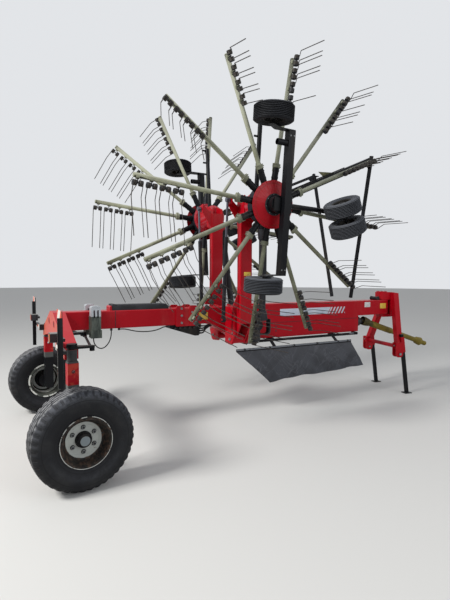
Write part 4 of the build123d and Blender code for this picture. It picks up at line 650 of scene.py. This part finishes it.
def piece(name, mesh, look, body, place=HERE, side="right", sharp=32, replaces=None):
    """Close a bmesh that is drawn in millimetres for the right side, and put it in the machine's frame."""
    bmesh.ops.remove_doubles(mesh, verts=mesh.verts, dist=0.01)
    mesh.transform(AXLE @ sided(place, side))
    if sided(place, side).to_3x3().determinant() < 0:
        bmesh.ops.reverse_faces(mesh, faces=mesh.faces)
    for face in mesh.faces:
        face.smooth = True
    for edge in mesh.edges:
        edge.smooth = edge.calc_face_angle(0) < radians(sharp)
    data = bpy.data.meshes.new(name)
    mesh.to_mesh(data)
    mesh.free()
    return settle(name, data, look, body, replaces)


def wires(name, paths, radius, look, body, place=HERE, side="right", roundness=0, replaces=None):
    """Round wire or hose along each path of points, as one mesh."""
    data = round_curve(name, radius * MM, roundness, 4)
    to_part = AXLE @ sided(place, side)
    for path in paths:
        draw_spline(data, [to_part @ Vector(spot) for spot in path])
    source = show(f"{name}_line", data)
    mesh = bpy.data.meshes.new_from_object(source.evaluated_get(bpy.context.evaluated_depsgraph_get()))
    bpy.data.objects.remove(source)
    mesh.name = name
    mesh.shade_smooth()
    return settle(name, mesh, look, body, replaces)


def ring(profile, steps=48):
    """A closed outline of (radius, height) points spun all the way round local Z."""
    mesh = bmesh.new()
    corners = [mesh.verts.new((radius, 0, height)) for radius, height in profile]
    edges = [mesh.edges.new(pair) for pair in zip(corners, corners[1:] + corners[:1])]
    bmesh.ops.spin(mesh, geom=corners + edges, cent=(0, 0, 0), axis=(0, 0, 1), angle=2 * pi, steps=steps,
                   use_merge=True)
    bmesh.ops.remove_doubles(mesh, verts=mesh.verts, dist=0.01)
    bmesh.ops.recalc_face_normals(mesh, faces=mesh.faces)
    return mesh


def add(mesh, other, place=HERE):
    """Join another bmesh to this one."""
    other.transform(place)
    if place.to_3x3().determinant() < 0:
        bmesh.ops.reverse_faces(other, faces=other.faces)
    data = bpy.data.meshes.new("joined")
    other.to_mesh(data)
    other.free()
    mesh.from_mesh(data)
    bpy.data.meshes.remove(data)


def along(start, end):
    """A frame whose Z runs from one point to another."""
    start, end = Vector(start), Vector(end)
    turn = (end - start).to_track_quat("Z", "Y").to_matrix().to_4x4()
    return Matrix.Translation(start) @ turn


def at(x, y, z, out):
    """A place whose local Z looks along out."""
    return along((x, y, z), Vector((x, y, z)) + Vector(out))


def around(count, radius, height, start=0.0):
    """Places that are evenly spaced round local Z."""
    turns = [start + 2 * pi * k / count for k in range(count)]
    return [Matrix.Translation((radius * cos(turn), radius * sin(turn), height)) for turn in turns]


def rod(mesh, start, end, radius, sides=20, end_radius=None):
    """A closed round bar or cone between two points."""
    length = (Vector(end) - Vector(start)).length
    place = along(start, end) @ Matrix.Translation((0, 0, length / 2))
    bmesh.ops.create_cone(mesh, cap_ends=True, segments=sides, radius1=radius,
                          radius2=radius if end_radius is None else end_radius, depth=length, matrix=place)


def slab(mesh, low, high, round_off, place=HERE):
    """A block between two corners, with its edges rounded off."""
    size = [b - a for a, b in zip(low, high)]
    middle = [(a + b) / 2 for a, b in zip(low, high)]
    fresh = bmesh.new()
    bmesh.ops.create_cube(fresh, size=1.0, matrix=Matrix.Translation(middle) @ Matrix.Diagonal((*size, 1)))
    bmesh.ops.bevel(fresh, geom=fresh.edges[:], offset=round_off, affect="EDGES", segments=2, profile=0.5,
                    material=-1)
    add(mesh, fresh, place)


def bolt(mesh, place, size):
    """A hexagon head on a washer, out along the place's local Z."""
    fresh = bmesh.new()
    rod(fresh, (0, 0, 0), (0, 0, size * 0.16), size * 0.95, 16)
    rod(fresh, (0, 0, size * 0.16), (0, 0, size * 0.75), size * 0.78, 6, size * 0.72)
    add(mesh, fresh, place)


def bolts_at(mesh, size, out, spots):
    """Bolts that all look one way."""
    for spot in spots:
        bolt(mesh, at(*spot, out), size)


# Rotor, in its own frame: twelve arms along X at a parked turn, each with four pairs of tines.
ARM_COUNT = 12
ARM_PHASE = -6.0
ARM_TIP = 1556.0
ARM_ROOT = 400.0
ARM_RADIUS = 24.0
FEATHER = (0, 0, 0, 0, 8, 34, 70, 70, 38, 6, 0, 0)
# Start, end and radius of the bearing sleeve and its collars, and the grease nipple's place.
SLEEVE = ((206, ARM_ROOT + 1, 35), (219, 241, 43), (288, 306, 38), (ARM_ROOT - 34, ARM_ROOT - 20, 39))
NIPPLE_X = 262
COUPLING_X = ARM_ROOT + 23
# Shift along the arm, the two radii, depth and squeeze of the coupling's two oval plates and its core.
COUPLING = ((-17, 46, 48, 9, 0.60), (17, 48.76, 50.88, 9, 0.60), (0, 43, 43, 44, 0.58))
FIRST_PAIR = 44.0
PAIRS = 4
PAIR_PITCH = 138.0
COIL_HEIGHT = 78.0
COIL_RADIUS = 27.0
COIL_INNER = 17.0
COIL_OUTER = 47.0
COIL_STEPS = 36
TINE_START = radians(29)
TINE_SPREAD = 48.0
# A tine below its coil: shift along the arm, place beside it and depth under the coil.
TINE_LEGS = ((0, -14, 32), (0, 33, 108), (-1, 40, 122), (-2, 41, 138), (-36, 52, 484), (-38, 53, 504))
WIRE_RADIUS = 4.5
# Arm and tine, counted from the tip, that the near rotor has lost.
LOST_TINES = ((3, 5), (3, 6), (2, 3))

# Small wheels, in the rotor's frame.
WHEEL_DROP = 336.0
CHASSIS_WHEEL_X = -250.0
CHASSIS_WHEEL_Y = 850.0
CASTOR = ROTOR @ Matrix.Translation((924, -30, 0)) @ Matrix.Rotation(radians(25), 4, "Z")
CASTOR_TRAIL = -150.0
CASTOR_WHEEL_Y = 117.5
SMALL_BORE = 14.1
RIB_PITCH = 15.5

TREAD_STEPS = 120
STUD_CIRCLE = 102.5
DISC_FACE = 32.2


def road_tyre(side):
    """Wide road tyre: ribs with zigzag edges, shoulder blocks, a sidewall ring and a bead."""
    outer = [(205, -121), (217, -121), (240, -128), (300, -143), (345, -145), (368, -139), (385, -134),
             (402, -118), (414, -102), (420, -86), (421, -66), (410, -63), (410, -55), (421.5, -52),
             (422, -28), (411, -25), (411, -17), (422, -14), (422.5, 0)]
    inner = [(radius, -height) for radius, height in reversed(outer[:-1])]
    mesh = ring(outer + inner + [(196, 100), (196, -100)], TREAD_STEPS)
    for vertex in mesh.verts:
        radius, reach = vertex.co.xy.length, abs(vertex.co.z)
        turn = Vector((1, 0)).angle_signed(vertex.co.xy, 0) % (2 * pi)
        step = round(turn / (2 * pi) * TREAD_STEPS)
        if radius > 383 and reach > 80 and step % 3 == 0:
            vertex.co.xy *= (radius - 9) / radius
        elif radius < 416 and reach < 70:
            vertex.co.z += 3.5 if step % 4 < 2 else -3.5
    piece(f"tyre_tread_{side}", mesh, f"road_rubber_{side}", f"road_wheel_{side}",
          road_wheel_place(side), sharp=50, replaces=f"road_tyre_{side}")


def road_wheel_details():
    """Wheel nuts on black discs of painted shade for their holes, with their studs' ends, and the valve, on
    both road wheels.
    """
    for side in SIDES:
        shade_seats, nuts = bmesh.new(), bmesh.new()
        for spot in around(6, STUD_CIRCLE, DISC_FACE, radians(30)):
            # Black discs under the nuts stand in for the shaded holes round them: painted shade.
            for mesh, low, high, *shape in ((shade_seats, 0, 1.6, 20, 20), (nuts, 1, 16, 15.6, 6, 14.6),
                                            (shade_seats, 13, 22, 9, 12)):
                rod(mesh, spot @ Vector((0, 0, low)), spot @ Vector((0, 0, high)), *shape)
        rod(shade_seats, (150, 30, 47), (176, 36, 66), 5, 10)
        body, place = f"road_wheel_{side}", road_wheel_place(side)
        piece(f"nut_hole_shade_{side}", shade_seats, "black_guard", body, place)
        piece(f"wheel_nuts_{side}", nuts, "zinc_bolt", body, place)


def small_tyre(mesh, place):
    """Small implement tyre with nine round ribs."""
    crown = ((192, -6.8), (203, -2.2), (203, 2.2), (192, 6.8))
    ribs = [(radius, k * RIB_PITCH + rise) for k in range(-4, 5) for radius, rise in crown]
    wall = [(103, -60), (121, -72), (154, -82), (184, -79), (194, -72)]
    far_wall = [(radius, -height) for radius, height in reversed(wall)]
    add(mesh, ring(wall + ribs + far_wall + [(96, 55), (96, -55)], 44), place)


def small_rim(mesh, place):
    """Disc rim with a hub tube, a well, its flanges and its bolts."""
    profile = [(SMALL_BORE, -55), (34, -55), (34, -10), (60, -6), (86, -12), (92, -58), (102.6, -66),
               (106, -64), (106, -60), (98, -54), (95, -20), (95, 20), (98, 54), (106, 60), (106, 64),
               (102.6, 66), (92, 58), (86, 4), (60, 2), (34, 6), (34, 55), (SMALL_BORE, 55)]
    add(mesh, ring(profile, 40), place)
    for spot in around(5, 52, 4):
        bolt(mesh, place @ spot, 9)


def small_wheel_place(x, y):
    """The frame of a small wheel below the rotor, with Z along its axle."""
    return Matrix.Translation((x, y, WHEEL_DROP)) @ Matrix.Rotation(pi / 2, 4, "X")


def wheel_set(names, body, axles, place, side):
    """Tyres and rims of the small wheels that ride on one body."""
    tyres, rims = bmesh.new(), bmesh.new()
    for axle in axles:
        small_tyre(tyres, axle)
        small_rim(rims, axle)
    tyre_name, rim_name = names
    piece(f"{tyre_name}_{side}", tyres, "ribbed_rubber", body, place, side, 50, body)
    piece(f"{rim_name}_{side}", rims, "small_rim", body, place, side, 30)


def small_wheels():
    """Every wheel of both rotor chassis."""
    twins = [small_wheel_place(CASTOR_TRAIL, y) for y in (-CASTOR_WHEEL_Y, CASTOR_WHEEL_Y)]
    for side in SIDES:
        for name, y in (("upper", CHASSIS_WHEEL_Y), ("lower", -CHASSIS_WHEEL_Y)):
            place = ROTOR @ small_wheel_place(CHASSIS_WHEEL_X, y)
            names = (f"rib_tyre_{name}", f"small_rim_{name}")
            wheel_set(names, f"chassis_wheel_{name}_{side}", [HERE], place, side)
        wheel_set(("rib_tyres_castor", "small_rims_castor"), f"castor_wheels_{side}", twins, CASTOR, side)


def arm_place(k, feather=0.0):
    """The frame of one tine arm: X out along the arm, Z the way its tines point."""
    turn = radians(ARM_PHASE + k * 360 / ARM_COUNT)
    return ROTOR @ Matrix.Rotation(turn, 4, "Z") @ Matrix.Rotation(radians(-feather), 4, "X")


def tine_line(x, lean):
    """One tine: its coil's turns outward, a short first leg, one clear bend and a long straight leg."""
    points = []
    for k in range(COIL_STEPS + 1):
        turn = 2 * pi * k / 8 - TINE_START
        across = x + lean * (COIL_INNER + (COIL_OUTER - COIL_INNER) * k / COIL_STEPS)
        points.append((across, COIL_RADIUS * cos(turn), COIL_HEIGHT + COIL_RADIUS * sin(turn)))
    leg = x + lean * TINE_SPREAD
    return points + [(leg + shift, beside, COIL_HEIGHT + depth) for shift, beside, depth in TINE_LEGS]


def quick_coupling(mesh, place):
    """The oval coupling at an arm's root with its lever, its cone and its pin."""
    oval = Matrix.Translation((COUPLING_X, 0, 0)) @ Matrix.Rotation(pi / 2, 4, "Y")
    for shift, low, high, depth, squeeze in COUPLING:
        fresh = bmesh.new()
        squeezed = oval @ Matrix.Translation((0, 0, shift)) @ Matrix.Diagonal((squeeze, 1, 1, 1))
        bmesh.ops.create_cone(fresh, cap_ends=True, segments=28, radius1=low, radius2=high, depth=depth,
                              matrix=squeezed)
        add(mesh, fresh, place)
    slab(mesh, (ARM_ROOT - 42, 34, -5), (ARM_ROOT + 44, 45, 5), 2, place)
    fresh = bmesh.new()
    rod(fresh, (ARM_ROOT + 40, 0, 0), (ARM_ROOT + 62, 0, 0), 30, 20, 25)
    rod(fresh, (COUPLING_X, -56, 0), (COUPLING_X, 50, 0), 7, 12)
    add(mesh, fresh, place)


def bearing_sleeve(mesh, place):
    """The sleeve that an arm turns in, with its collars and its grease nipple."""
    fresh = bmesh.new()
    for start, end, radius in SLEEVE:
        rod(fresh, (start, 0, 0), (end, 0, 0), radius, 24)
    rod(fresh, (NIPPLE_X, 0, 0), (NIPPLE_X, 0, 46), 7, 10)
    add(mesh, fresh, place)


def tine_holder(mesh, place, middle):
    """The thin plate, the pin and the two coil spools of one pair of tines."""
    fresh = bmesh.new()
    slab(fresh, (middle - 2.5, -11, 20), (middle + 2.5, 11, COIL_HEIGHT + 5), 1)
    rod(fresh, (middle - 55, 0, COIL_HEIGHT), (middle + 55, 0, COIL_HEIGHT), 4.5, 10)
    for start in (middle - 52, middle + 12):
        rod(fresh, (start, 0, COIL_HEIGHT), (start + 40, 0, COIL_HEIGHT), COIL_RADIUS, 14)
    add(mesh, fresh, place)


def rotor_dress():
    """Tine arms, their couplings, bearing sleeves, holders and tines, on both rotors."""
    for side in SIDES:
        arms, sleeves, holders, paths = bmesh.new(), bmesh.new(), bmesh.new(), []
        lost = LOST_TINES if side == "right" else ()
        for k, feather in enumerate(FEATHER):
            place, turned = arm_place(k), arm_place(k, feather)
            tube = bmesh.new()
            rod(tube, (ARM_ROOT - 4, 0, 0), (ARM_TIP - 6, 0, 0), ARM_RADIUS)
            rod(tube, (ARM_TIP - 6, 0, 0), (ARM_TIP, 0, 0), ARM_RADIUS, 20, ARM_RADIUS - 5)
            add(arms, tube, place)
            quick_coupling(arms, place)
            bearing_sleeve(sleeves, place)
            for pair in range(PAIRS):
                middle = ARM_TIP - FIRST_PAIR - pair * PAIR_PITCH
                slab(arms, (middle - 19, -19, 10), (middle + 19, 19, 33), 5, turned)
                tine_holder(holders, turned, middle)
                for lean, tine in ((-1, 2 * pair + 1), (1, 2 * pair)):
                    if (k, tine) not in lost:
                        paths.append([turned @ Vector(point) for point in tine_line(middle, lean)])
        body = f"rotor_{side}"
        piece(f"arm_tubes_{side}", arms, "grey_arm", body, side=side,
              replaces=f"rotor_arms_{side}")
        piece(f"arm_sleeves_{side}", sleeves, "black_paint", body, side=side)
        piece(f"tine_holders_{side}", holders, "black_guard", body, side=side)
        wires(f"tine_wires_{side}", paths, WIRE_RADIUS, "spring_steel", body, side=side,
              replaces=f"rotor_tines_{side}")


def hub_details():
    """The disc's rim bolts, the ring of bolts round its hub and the hub's collar, on both rotors."""
    for side in SIDES:
        rim, hub_bolts = bmesh.new(), bmesh.new()
        for spot in around(30, 250, 52.5, pi / 30):
            bolt(rim, spot, 10)
        for spot in around(8, 107, 78, 0.2):
            bolt(hub_bolts, spot, 9)
        collar = ring([(96, 70), (119, 74), (119, 79), (112, 84), (96, 84)])
        body = f"rotor_{side}"
        piece(f"disc_bolts_{side}", rim, f"disc_red_{side}", body, ROTOR, side)
        piece(f"hub_bolts_{side}", hub_bolts, "zinc_bolt", body, ROTOR, side)
        piece(f"hub_ring_{side}", collar, "black_guard", body, ROTOR, side)


def chassis_details():
    """Bolts along the rotor chassis's bar."""
    for side in SIDES:
        bolts = bmesh.new()
        bolts_at(bolts, 13, (1, 0, 0), [(115, y, z) for y in (-76, -38, 38, 76) for z in (104, 222)])
        bolts_at(bolts, 11, (1, 0, 0), [(100, y, 200) for y in (-560, -330, 330, 560)])
        bolts_at(bolts, 9, (0, 0, 1), [(x, y, 240) for y in (-700, 700) for x in (38, 82)])
        piece(f"chassis_bolts_{side}", bolts, "zinc_bolt", f"boom_{side}", ROTOR, side)


# The guard's arm, in the rotor's frame, and the shares of its length at which the two hoses are clipped.
GUARD_START = Vector((120, 60, -195))
GUARD_END = Vector((1772, 753, -330))
LONG_HOSE = (0.16, 0.30, 0.42, 0.55, 0.66, 0.70)
SHORT_HOSE = (0.16, 0.30, 0.40)


def on_guard(share, offset=(0, 0, 0)):
    """A place beside the guard's arm, at a share of its length."""
    return GUARD_START.lerp(GUARD_END, share) + Vector(offset)


def guard_details():
    """Two hoses along the guard's arm, a bare three-cornered plate beside it and a folded bracket."""
    hoses = [[on_guard(share, (-11.4, 27.6, 14)) for share in LONG_HOSE],
             [on_guard(share, (-9.88, 23.92, -10)) for share in SHORT_HOSE]]
    corners = (on_guard(0.60, (-7, 17, 8)), on_guard(0.49, (-7, 17, 8)), on_guard(0.47, (-60, 88, 0)))
    fold = on_guard(0.42)
    for side in SIDES:
        body = f"boom_{side}"
        wires(f"guard_hoses_{side}", hoses, 6, "hose_rubber", body, ROTOR, side, 1)
        plate = bmesh.new()
        plate.faces.new([plate.verts.new(corner) for corner in corners])
        bmesh.ops.solidify(plate, geom=plate.faces[:], thickness=3)
        bmesh.ops.recalc_face_normals(plate, faces=plate.faces)
        piece(f"guard_plate_{side}", plate, "olive_guard", body, ROTOR, side)
        bracket = bmesh.new()
        for low, high in (((-30, 14, -22), (12, 66, -14)), ((-30, 14, -22), (-22, 66, 24)),
                          ((-34, 58, -24), (16, 68, 26))):
            slab(bracket, fold + Vector(low), fold + Vector(high), 2)
        piece(f"guard_bracket_{side}", bracket, "black_paint", body, ROTOR, side)


BEAM_FACE = -100.0
# Labels on the beam's right face: a look and, for each, the low and the high corner's X and Z.
LABELS = {
    "yellow_labels": ("yellow_label", ((1600, 1240, 1722, 1330), (4664, 1276, 4790, 1356))),
    "white_label": ("white_label", ((4340, 1306, 4456, 1382),)),
    "long_plate": ("pale_plate", ((2796, 1236, 3946, 1330),)),
}
PORT_HEIGHTS = (1068, 1097, 1126, 1155)
PORT_Y = -34.0


def beam_labels():
    """Labels left bare, seams and plugs on the beam, and a label on each boom."""
    for name, (look, plates) in LABELS.items():
        label = bmesh.new()
        for x, z, far_x, far_z in plates:
            slab(label, (x, BEAM_FACE - 1.5, z), (far_x, BEAM_FACE, far_z), 1)
        piece(name, label, look, "frame")
    dark = bmesh.new()
    for z in (1098, 1040):
        rod(dark, (2732, BEAM_FACE - 1, z), (2732, BEAM_FACE + 4, z), 11, 16)
    for x, z, far_x, far_z in ((586, 1192, 592, 1384), (2440, 1150, 4186, 1155)):
        slab(dark, (x, BEAM_FACE - 2.2, z), (far_x, BEAM_FACE + 1, far_z), 1)
    piece("beam_seams", dark, "black_guard", "frame")
    for side in SIDES:
        label = bmesh.new()
        slab(label, (2040, -426.5, 1773), (2132, -425, 1819), 1)
        piece(f"boom_label_{side}", label, "yellow_label", f"boom_{side}", side=side)


def frame_bolts():
    """Bolts of the beam's flanges, the relay post, the boom yoke and the central gearbox."""
    bolts = bmesh.new()
    for sign in SIDES.values():
        out = (0, sign, 0)
        bolts_at(bolts, 15, out, [(x, sign * 114, z) for z in (1215, 1300, 1385) for x in (1372, 1560)])
        bolts_at(bolts, 12, out, [(1501, sign * 124, z) for z in (1230, 1340)])
        bolts_at(bolts, 12, out, [(x, sign * 170, 920) for x in (2262, 2335, 2408)])
        for x, forward in ((1962, -1), (2188, 1)):
            bolts_at(bolts, 21, (forward, 0, 0), [(x, sign * 230, 995)])
            bolts_at(bolts, 12, (forward, 0, 0), [(x, sign * 292, 1080)])
    bolts_at(bolts, 13, (0, 0, -1), [(x, y, 900) for x in (2262, 2408) for y in (-120, 120)])
    piece("frame_bolts", bolts, "zinc_bolt", "frame")


def valve_details():
    """Fittings of the valve block, and the pipes that leave it close under the beam."""
    fittings = bmesh.new()
    for z in PORT_HEIGHTS:
        rod(fittings, (1620, PORT_Y, z), (1668, PORT_Y, z), 10, 6)
        rod(fittings, (1660, PORT_Y, z), (1676, PORT_Y, z), 8, 12)
    for x in (1300, 1360, 1420, 1480, 1540):
        rod(fittings, (x, -68, 1150), (x, -88, 1150), 13, 6)
        rod(fittings, (x, -84, 1150), (x, -96, 1150), 8, 12)
    piece("valve_fittings", fittings, "cast_dark", "frame")
    pipes = [((1670, PORT_Y, z), (1690, PORT_Y, z), (1712, PORT_Y - 4, 0.5 * z + 575),
              (1750, PORT_Y - 8, 0.3 * z + 820), (1800, PORT_Y - 8, 0.2 * z + 945)) for z in PORT_HEIGHTS]
    wires("valve_pipes", pipes, 9, "hose_rubber", "frame", roundness=1)


HOLE_Y = 200
HOLE_Z = 1280
BOARD_Y = 1200


def holes_and_channels():
    """The portal's inspection holes as black discs of painted shade, with their rolled edges, and the
    channel on one edge of each board.
    """
    hole_shade, edge, channel = bmesh.new(), bmesh.new(), bmesh.new()
    for y in (-HOLE_Y, HOLE_Y):
        # A black disc on the face stands in for the hole's shaded inside: painted shade.
        rod(hole_shade, (-62, y, HOLE_Z), (-55, y, HOLE_Z), 34, 28)
        add(edge, ring([(34, -1), (41, -1), (41, 2), (34, 4.5)], 32), at(-60, y, HOLE_Z, (-1, 0, 0)))
    for middle in (-BOARD_Y, BOARD_Y):
        slab(channel, (-167, middle - 149, 892), (-127, middle - 139, 1446), 3)
        slab(channel, (-167, middle - 149, 892), (-159, middle - 122, 1446), 3)
    piece("board_channels", channel, "black_paint", "frame")
    piece("portal_hole_shade", hole_shade, "black_guard", "frame")
    piece("portal_hole_edges", edge, "portal_red", "frame")


def lamps():
    """Rear lenses on the lamps of both boards: red inside, amber outside."""
    for colour_name, near, far in (("red", 939, 985), ("amber", 989, 1031)):
        lens = bmesh.new()
        for sign in SIDES.values():
            low, high = sorted((sign * near, sign * far))
            slab(lens, (-194, low, 1215), (-189, high, 1285), 2)
        piece(f"lamp_lenses_{colour_name}", lens, f"lamp_{colour_name}", "frame")


HEADSTOCK = Matrix.Translation((4800, 0, 0)) @ Matrix.Rotation(radians(-10.7), 4, "Z")
CLEVIS_Y = 370
PIN_Z = 610


def headstock_details():
    """Clevis pins and head bolts on the headstock, and the lock cylinder on the beam's end."""
    pins, bolts, lock = bmesh.new(), bmesh.new(), bmesh.new()
    for sign in SIDES.values():
        for near, far, radius in ((CLEVIS_Y - 58, CLEVIS_Y + 58, 12), (CLEVIS_Y + 54, CLEVIS_Y + 66, 19)):
            rod(pins, (35, sign * near, PIN_Z), (35, sign * far, PIN_Z), radius)
        rod(bolts, (-31, sign * CLEVIS_Y, 735), (-36, sign * CLEVIS_Y, 735), 11, 16)
    for spot in around(6, 58, 1537):
        bolt(bolts, spot, 11)
    bolts_at(bolts, 12, (1, 0, 0), [(138, y, z) for y in (-60, 60) for z in (1430, 1500)])
    piece("clevis_pins", pins, "zinc_bolt", "headstock", HEADSTOCK)
    piece("headstock_bolts", bolts, "zinc_bolt", "headstock", HEADSTOCK)
    for low, high, radius in ((-66, 66, 27), (-72, -60, 31), (60, 72, 31)):
        rod(lock, (4652, low, 1432), (4652, high, 1432), radius, 28)
    piece("lock_cylinder", lock, "hydraulic", "frame")


CURTAIN_Y = -215
CURTAIN_TOP = 824.7
CURTAIN_LOW = 400.0
CURTAIN_OUTLINE = ((2060, CURTAIN_TOP), (3965, CURTAIN_TOP), (4230, CURTAIN_LOW + 60), (2560, CURTAIN_LOW))
CLIP_PLACES = (2180, 2560, 2950, 3340, 3720, 3900)


def curtain():
    """The swath curtain: one sheet cut as the photograph shows, creased, hung below its hem bar."""
    mesh = bmesh.new()
    mesh.faces.new([mesh.verts.new((x, CURTAIN_Y, z)) for x, z in CURTAIN_OUTLINE])
    bmesh.ops.subdivide_edges(mesh, edges=mesh.edges[:], cuts=72, use_grid_fill=True)
    for vertex in mesh.verts:
        x, z = vertex.co.x, vertex.co.z
        drop = max(0.0, (CURTAIN_TOP - z) / (CURTAIN_TOP - CURTAIN_LOW))
        fold = 13 * abs(sin(x / 210 + z / 120)) + 10 * abs(sin(x / 120 - z / 150 + 0.7))
        ripple = 4 * sin(x / 48 + z / 70)
        vertex.co.z += drop ** 3 * (9 * sin(x / 150) + 5 * sin(x / 61))
        vertex.co.y += (fold + ripple - 14) * min(1.0, drop * 1.8)
    made = piece("swath_cloth", mesh, "curtain_cloth", "frame", sharp=60,
                 replaces="swath_curtain")
    wall = made.modifiers.new("thickness", "SOLIDIFY")
    wall.thickness = 0.003
    wall.offset = 0
    clips, wear_and_highlight = bmesh.new(), bmesh.new()
    for x in CLIP_PLACES:
        slab(clips, (x - 14, CURTAIN_Y - 9, 822), (x + 14, CURTAIN_Y + 8, 862), 3)
    piece("curtain_clips", clips, "black_guard", "frame")
    # Pale strips on the hem rail's top edge and on a second edge further forward: painted highlights.
    slab(wear_and_highlight, (2064, -222.5, 838), (3961, -220, 857), 1)
    slab(wear_and_highlight, (4010, -139.5, 927), (4166, -137, 942), 1)
    piece("rail_highlight", wear_and_highlight, "highlight_strip", "frame")


dress_frame()
for side in SIDES:
    road_tyre(side)
road_wheel_details()
small_wheels()
rotor_dress()
hub_details()
chassis_details()
guard_details()
beam_labels()
frame_bolts()
valve_details()
holes_and_channels()
lamps()
headstock_details()
curtain()


def area_light(name, place, size, power, tint):
    """A soft round light that points at the machine's middle."""
    data = bpy.data.lights.new(name, "AREA")
    data.shape = "DISK"
    data.size = size
    data.energy = power
    data.color = tint
    lamp = show(name, data)
    lamp.location = place
    lamp.rotation_mode = "QUATERNION"
    lamp.rotation_quaternion = (Vector((0, 0, 1.4)) - Vector(place)).to_track_quat("-Z", "Y")


def lay_floor():
    """A plain pale floor, just under the wheels."""
    look = Look("floor")
    look.finish((0.62, 0.62, 0.61), 0.9)
    mesh = bmesh.new()
    bmesh.ops.create_circle(mesh, cap_ends=True, segments=64, radius=60)
    data = bpy.data.meshes.new("floor")
    mesh.to_mesh(data)
    mesh.free()
    data.materials.append(look.material)
    floor = show("floor", data)
    floor.location.z = -MM


def set_surround():
    """A pale surround that the camera and glossy faces see brighter than it lights the machine."""
    world = bpy.data.worlds.new("surround")
    scene.world = world
    world.use_nodes = True
    nodes, links = world.node_tree.nodes, world.node_tree.links
    backdrop = nodes["Background"]
    backdrop.inputs["Color"].default_value = (0.90, 0.92, 0.95, 1)
    path = nodes.new("ShaderNodeLightPath")
    seen = nodes.new("ShaderNodeMath")
    seen.operation = "MAXIMUM"
    links.new(path.outputs["Is Camera Ray"], seen.inputs[0])
    links.new(path.outputs["Is Glossy Ray"], seen.inputs[1])
    strength = nodes.new("ShaderNodeMapRange")
    strength.inputs["To Min"].default_value = 0.50
    strength.inputs["To Max"].default_value = 0.85
    links.new(seen.outputs[0], strength.inputs["Value"])
    links.new(strength.outputs[0], backdrop.inputs["Strength"])


lay_floor()
set_surround()
area_light("key", (-10.0, -1.5, 8.5), 3.0, 1350, (1.0, 0.98, 0.94))
area_light("fill", (3.5, -10.0, 5.0), 6.0, 300, (0.95, 0.97, 1.0))
scene.view_settings.view_transform = "Standard"
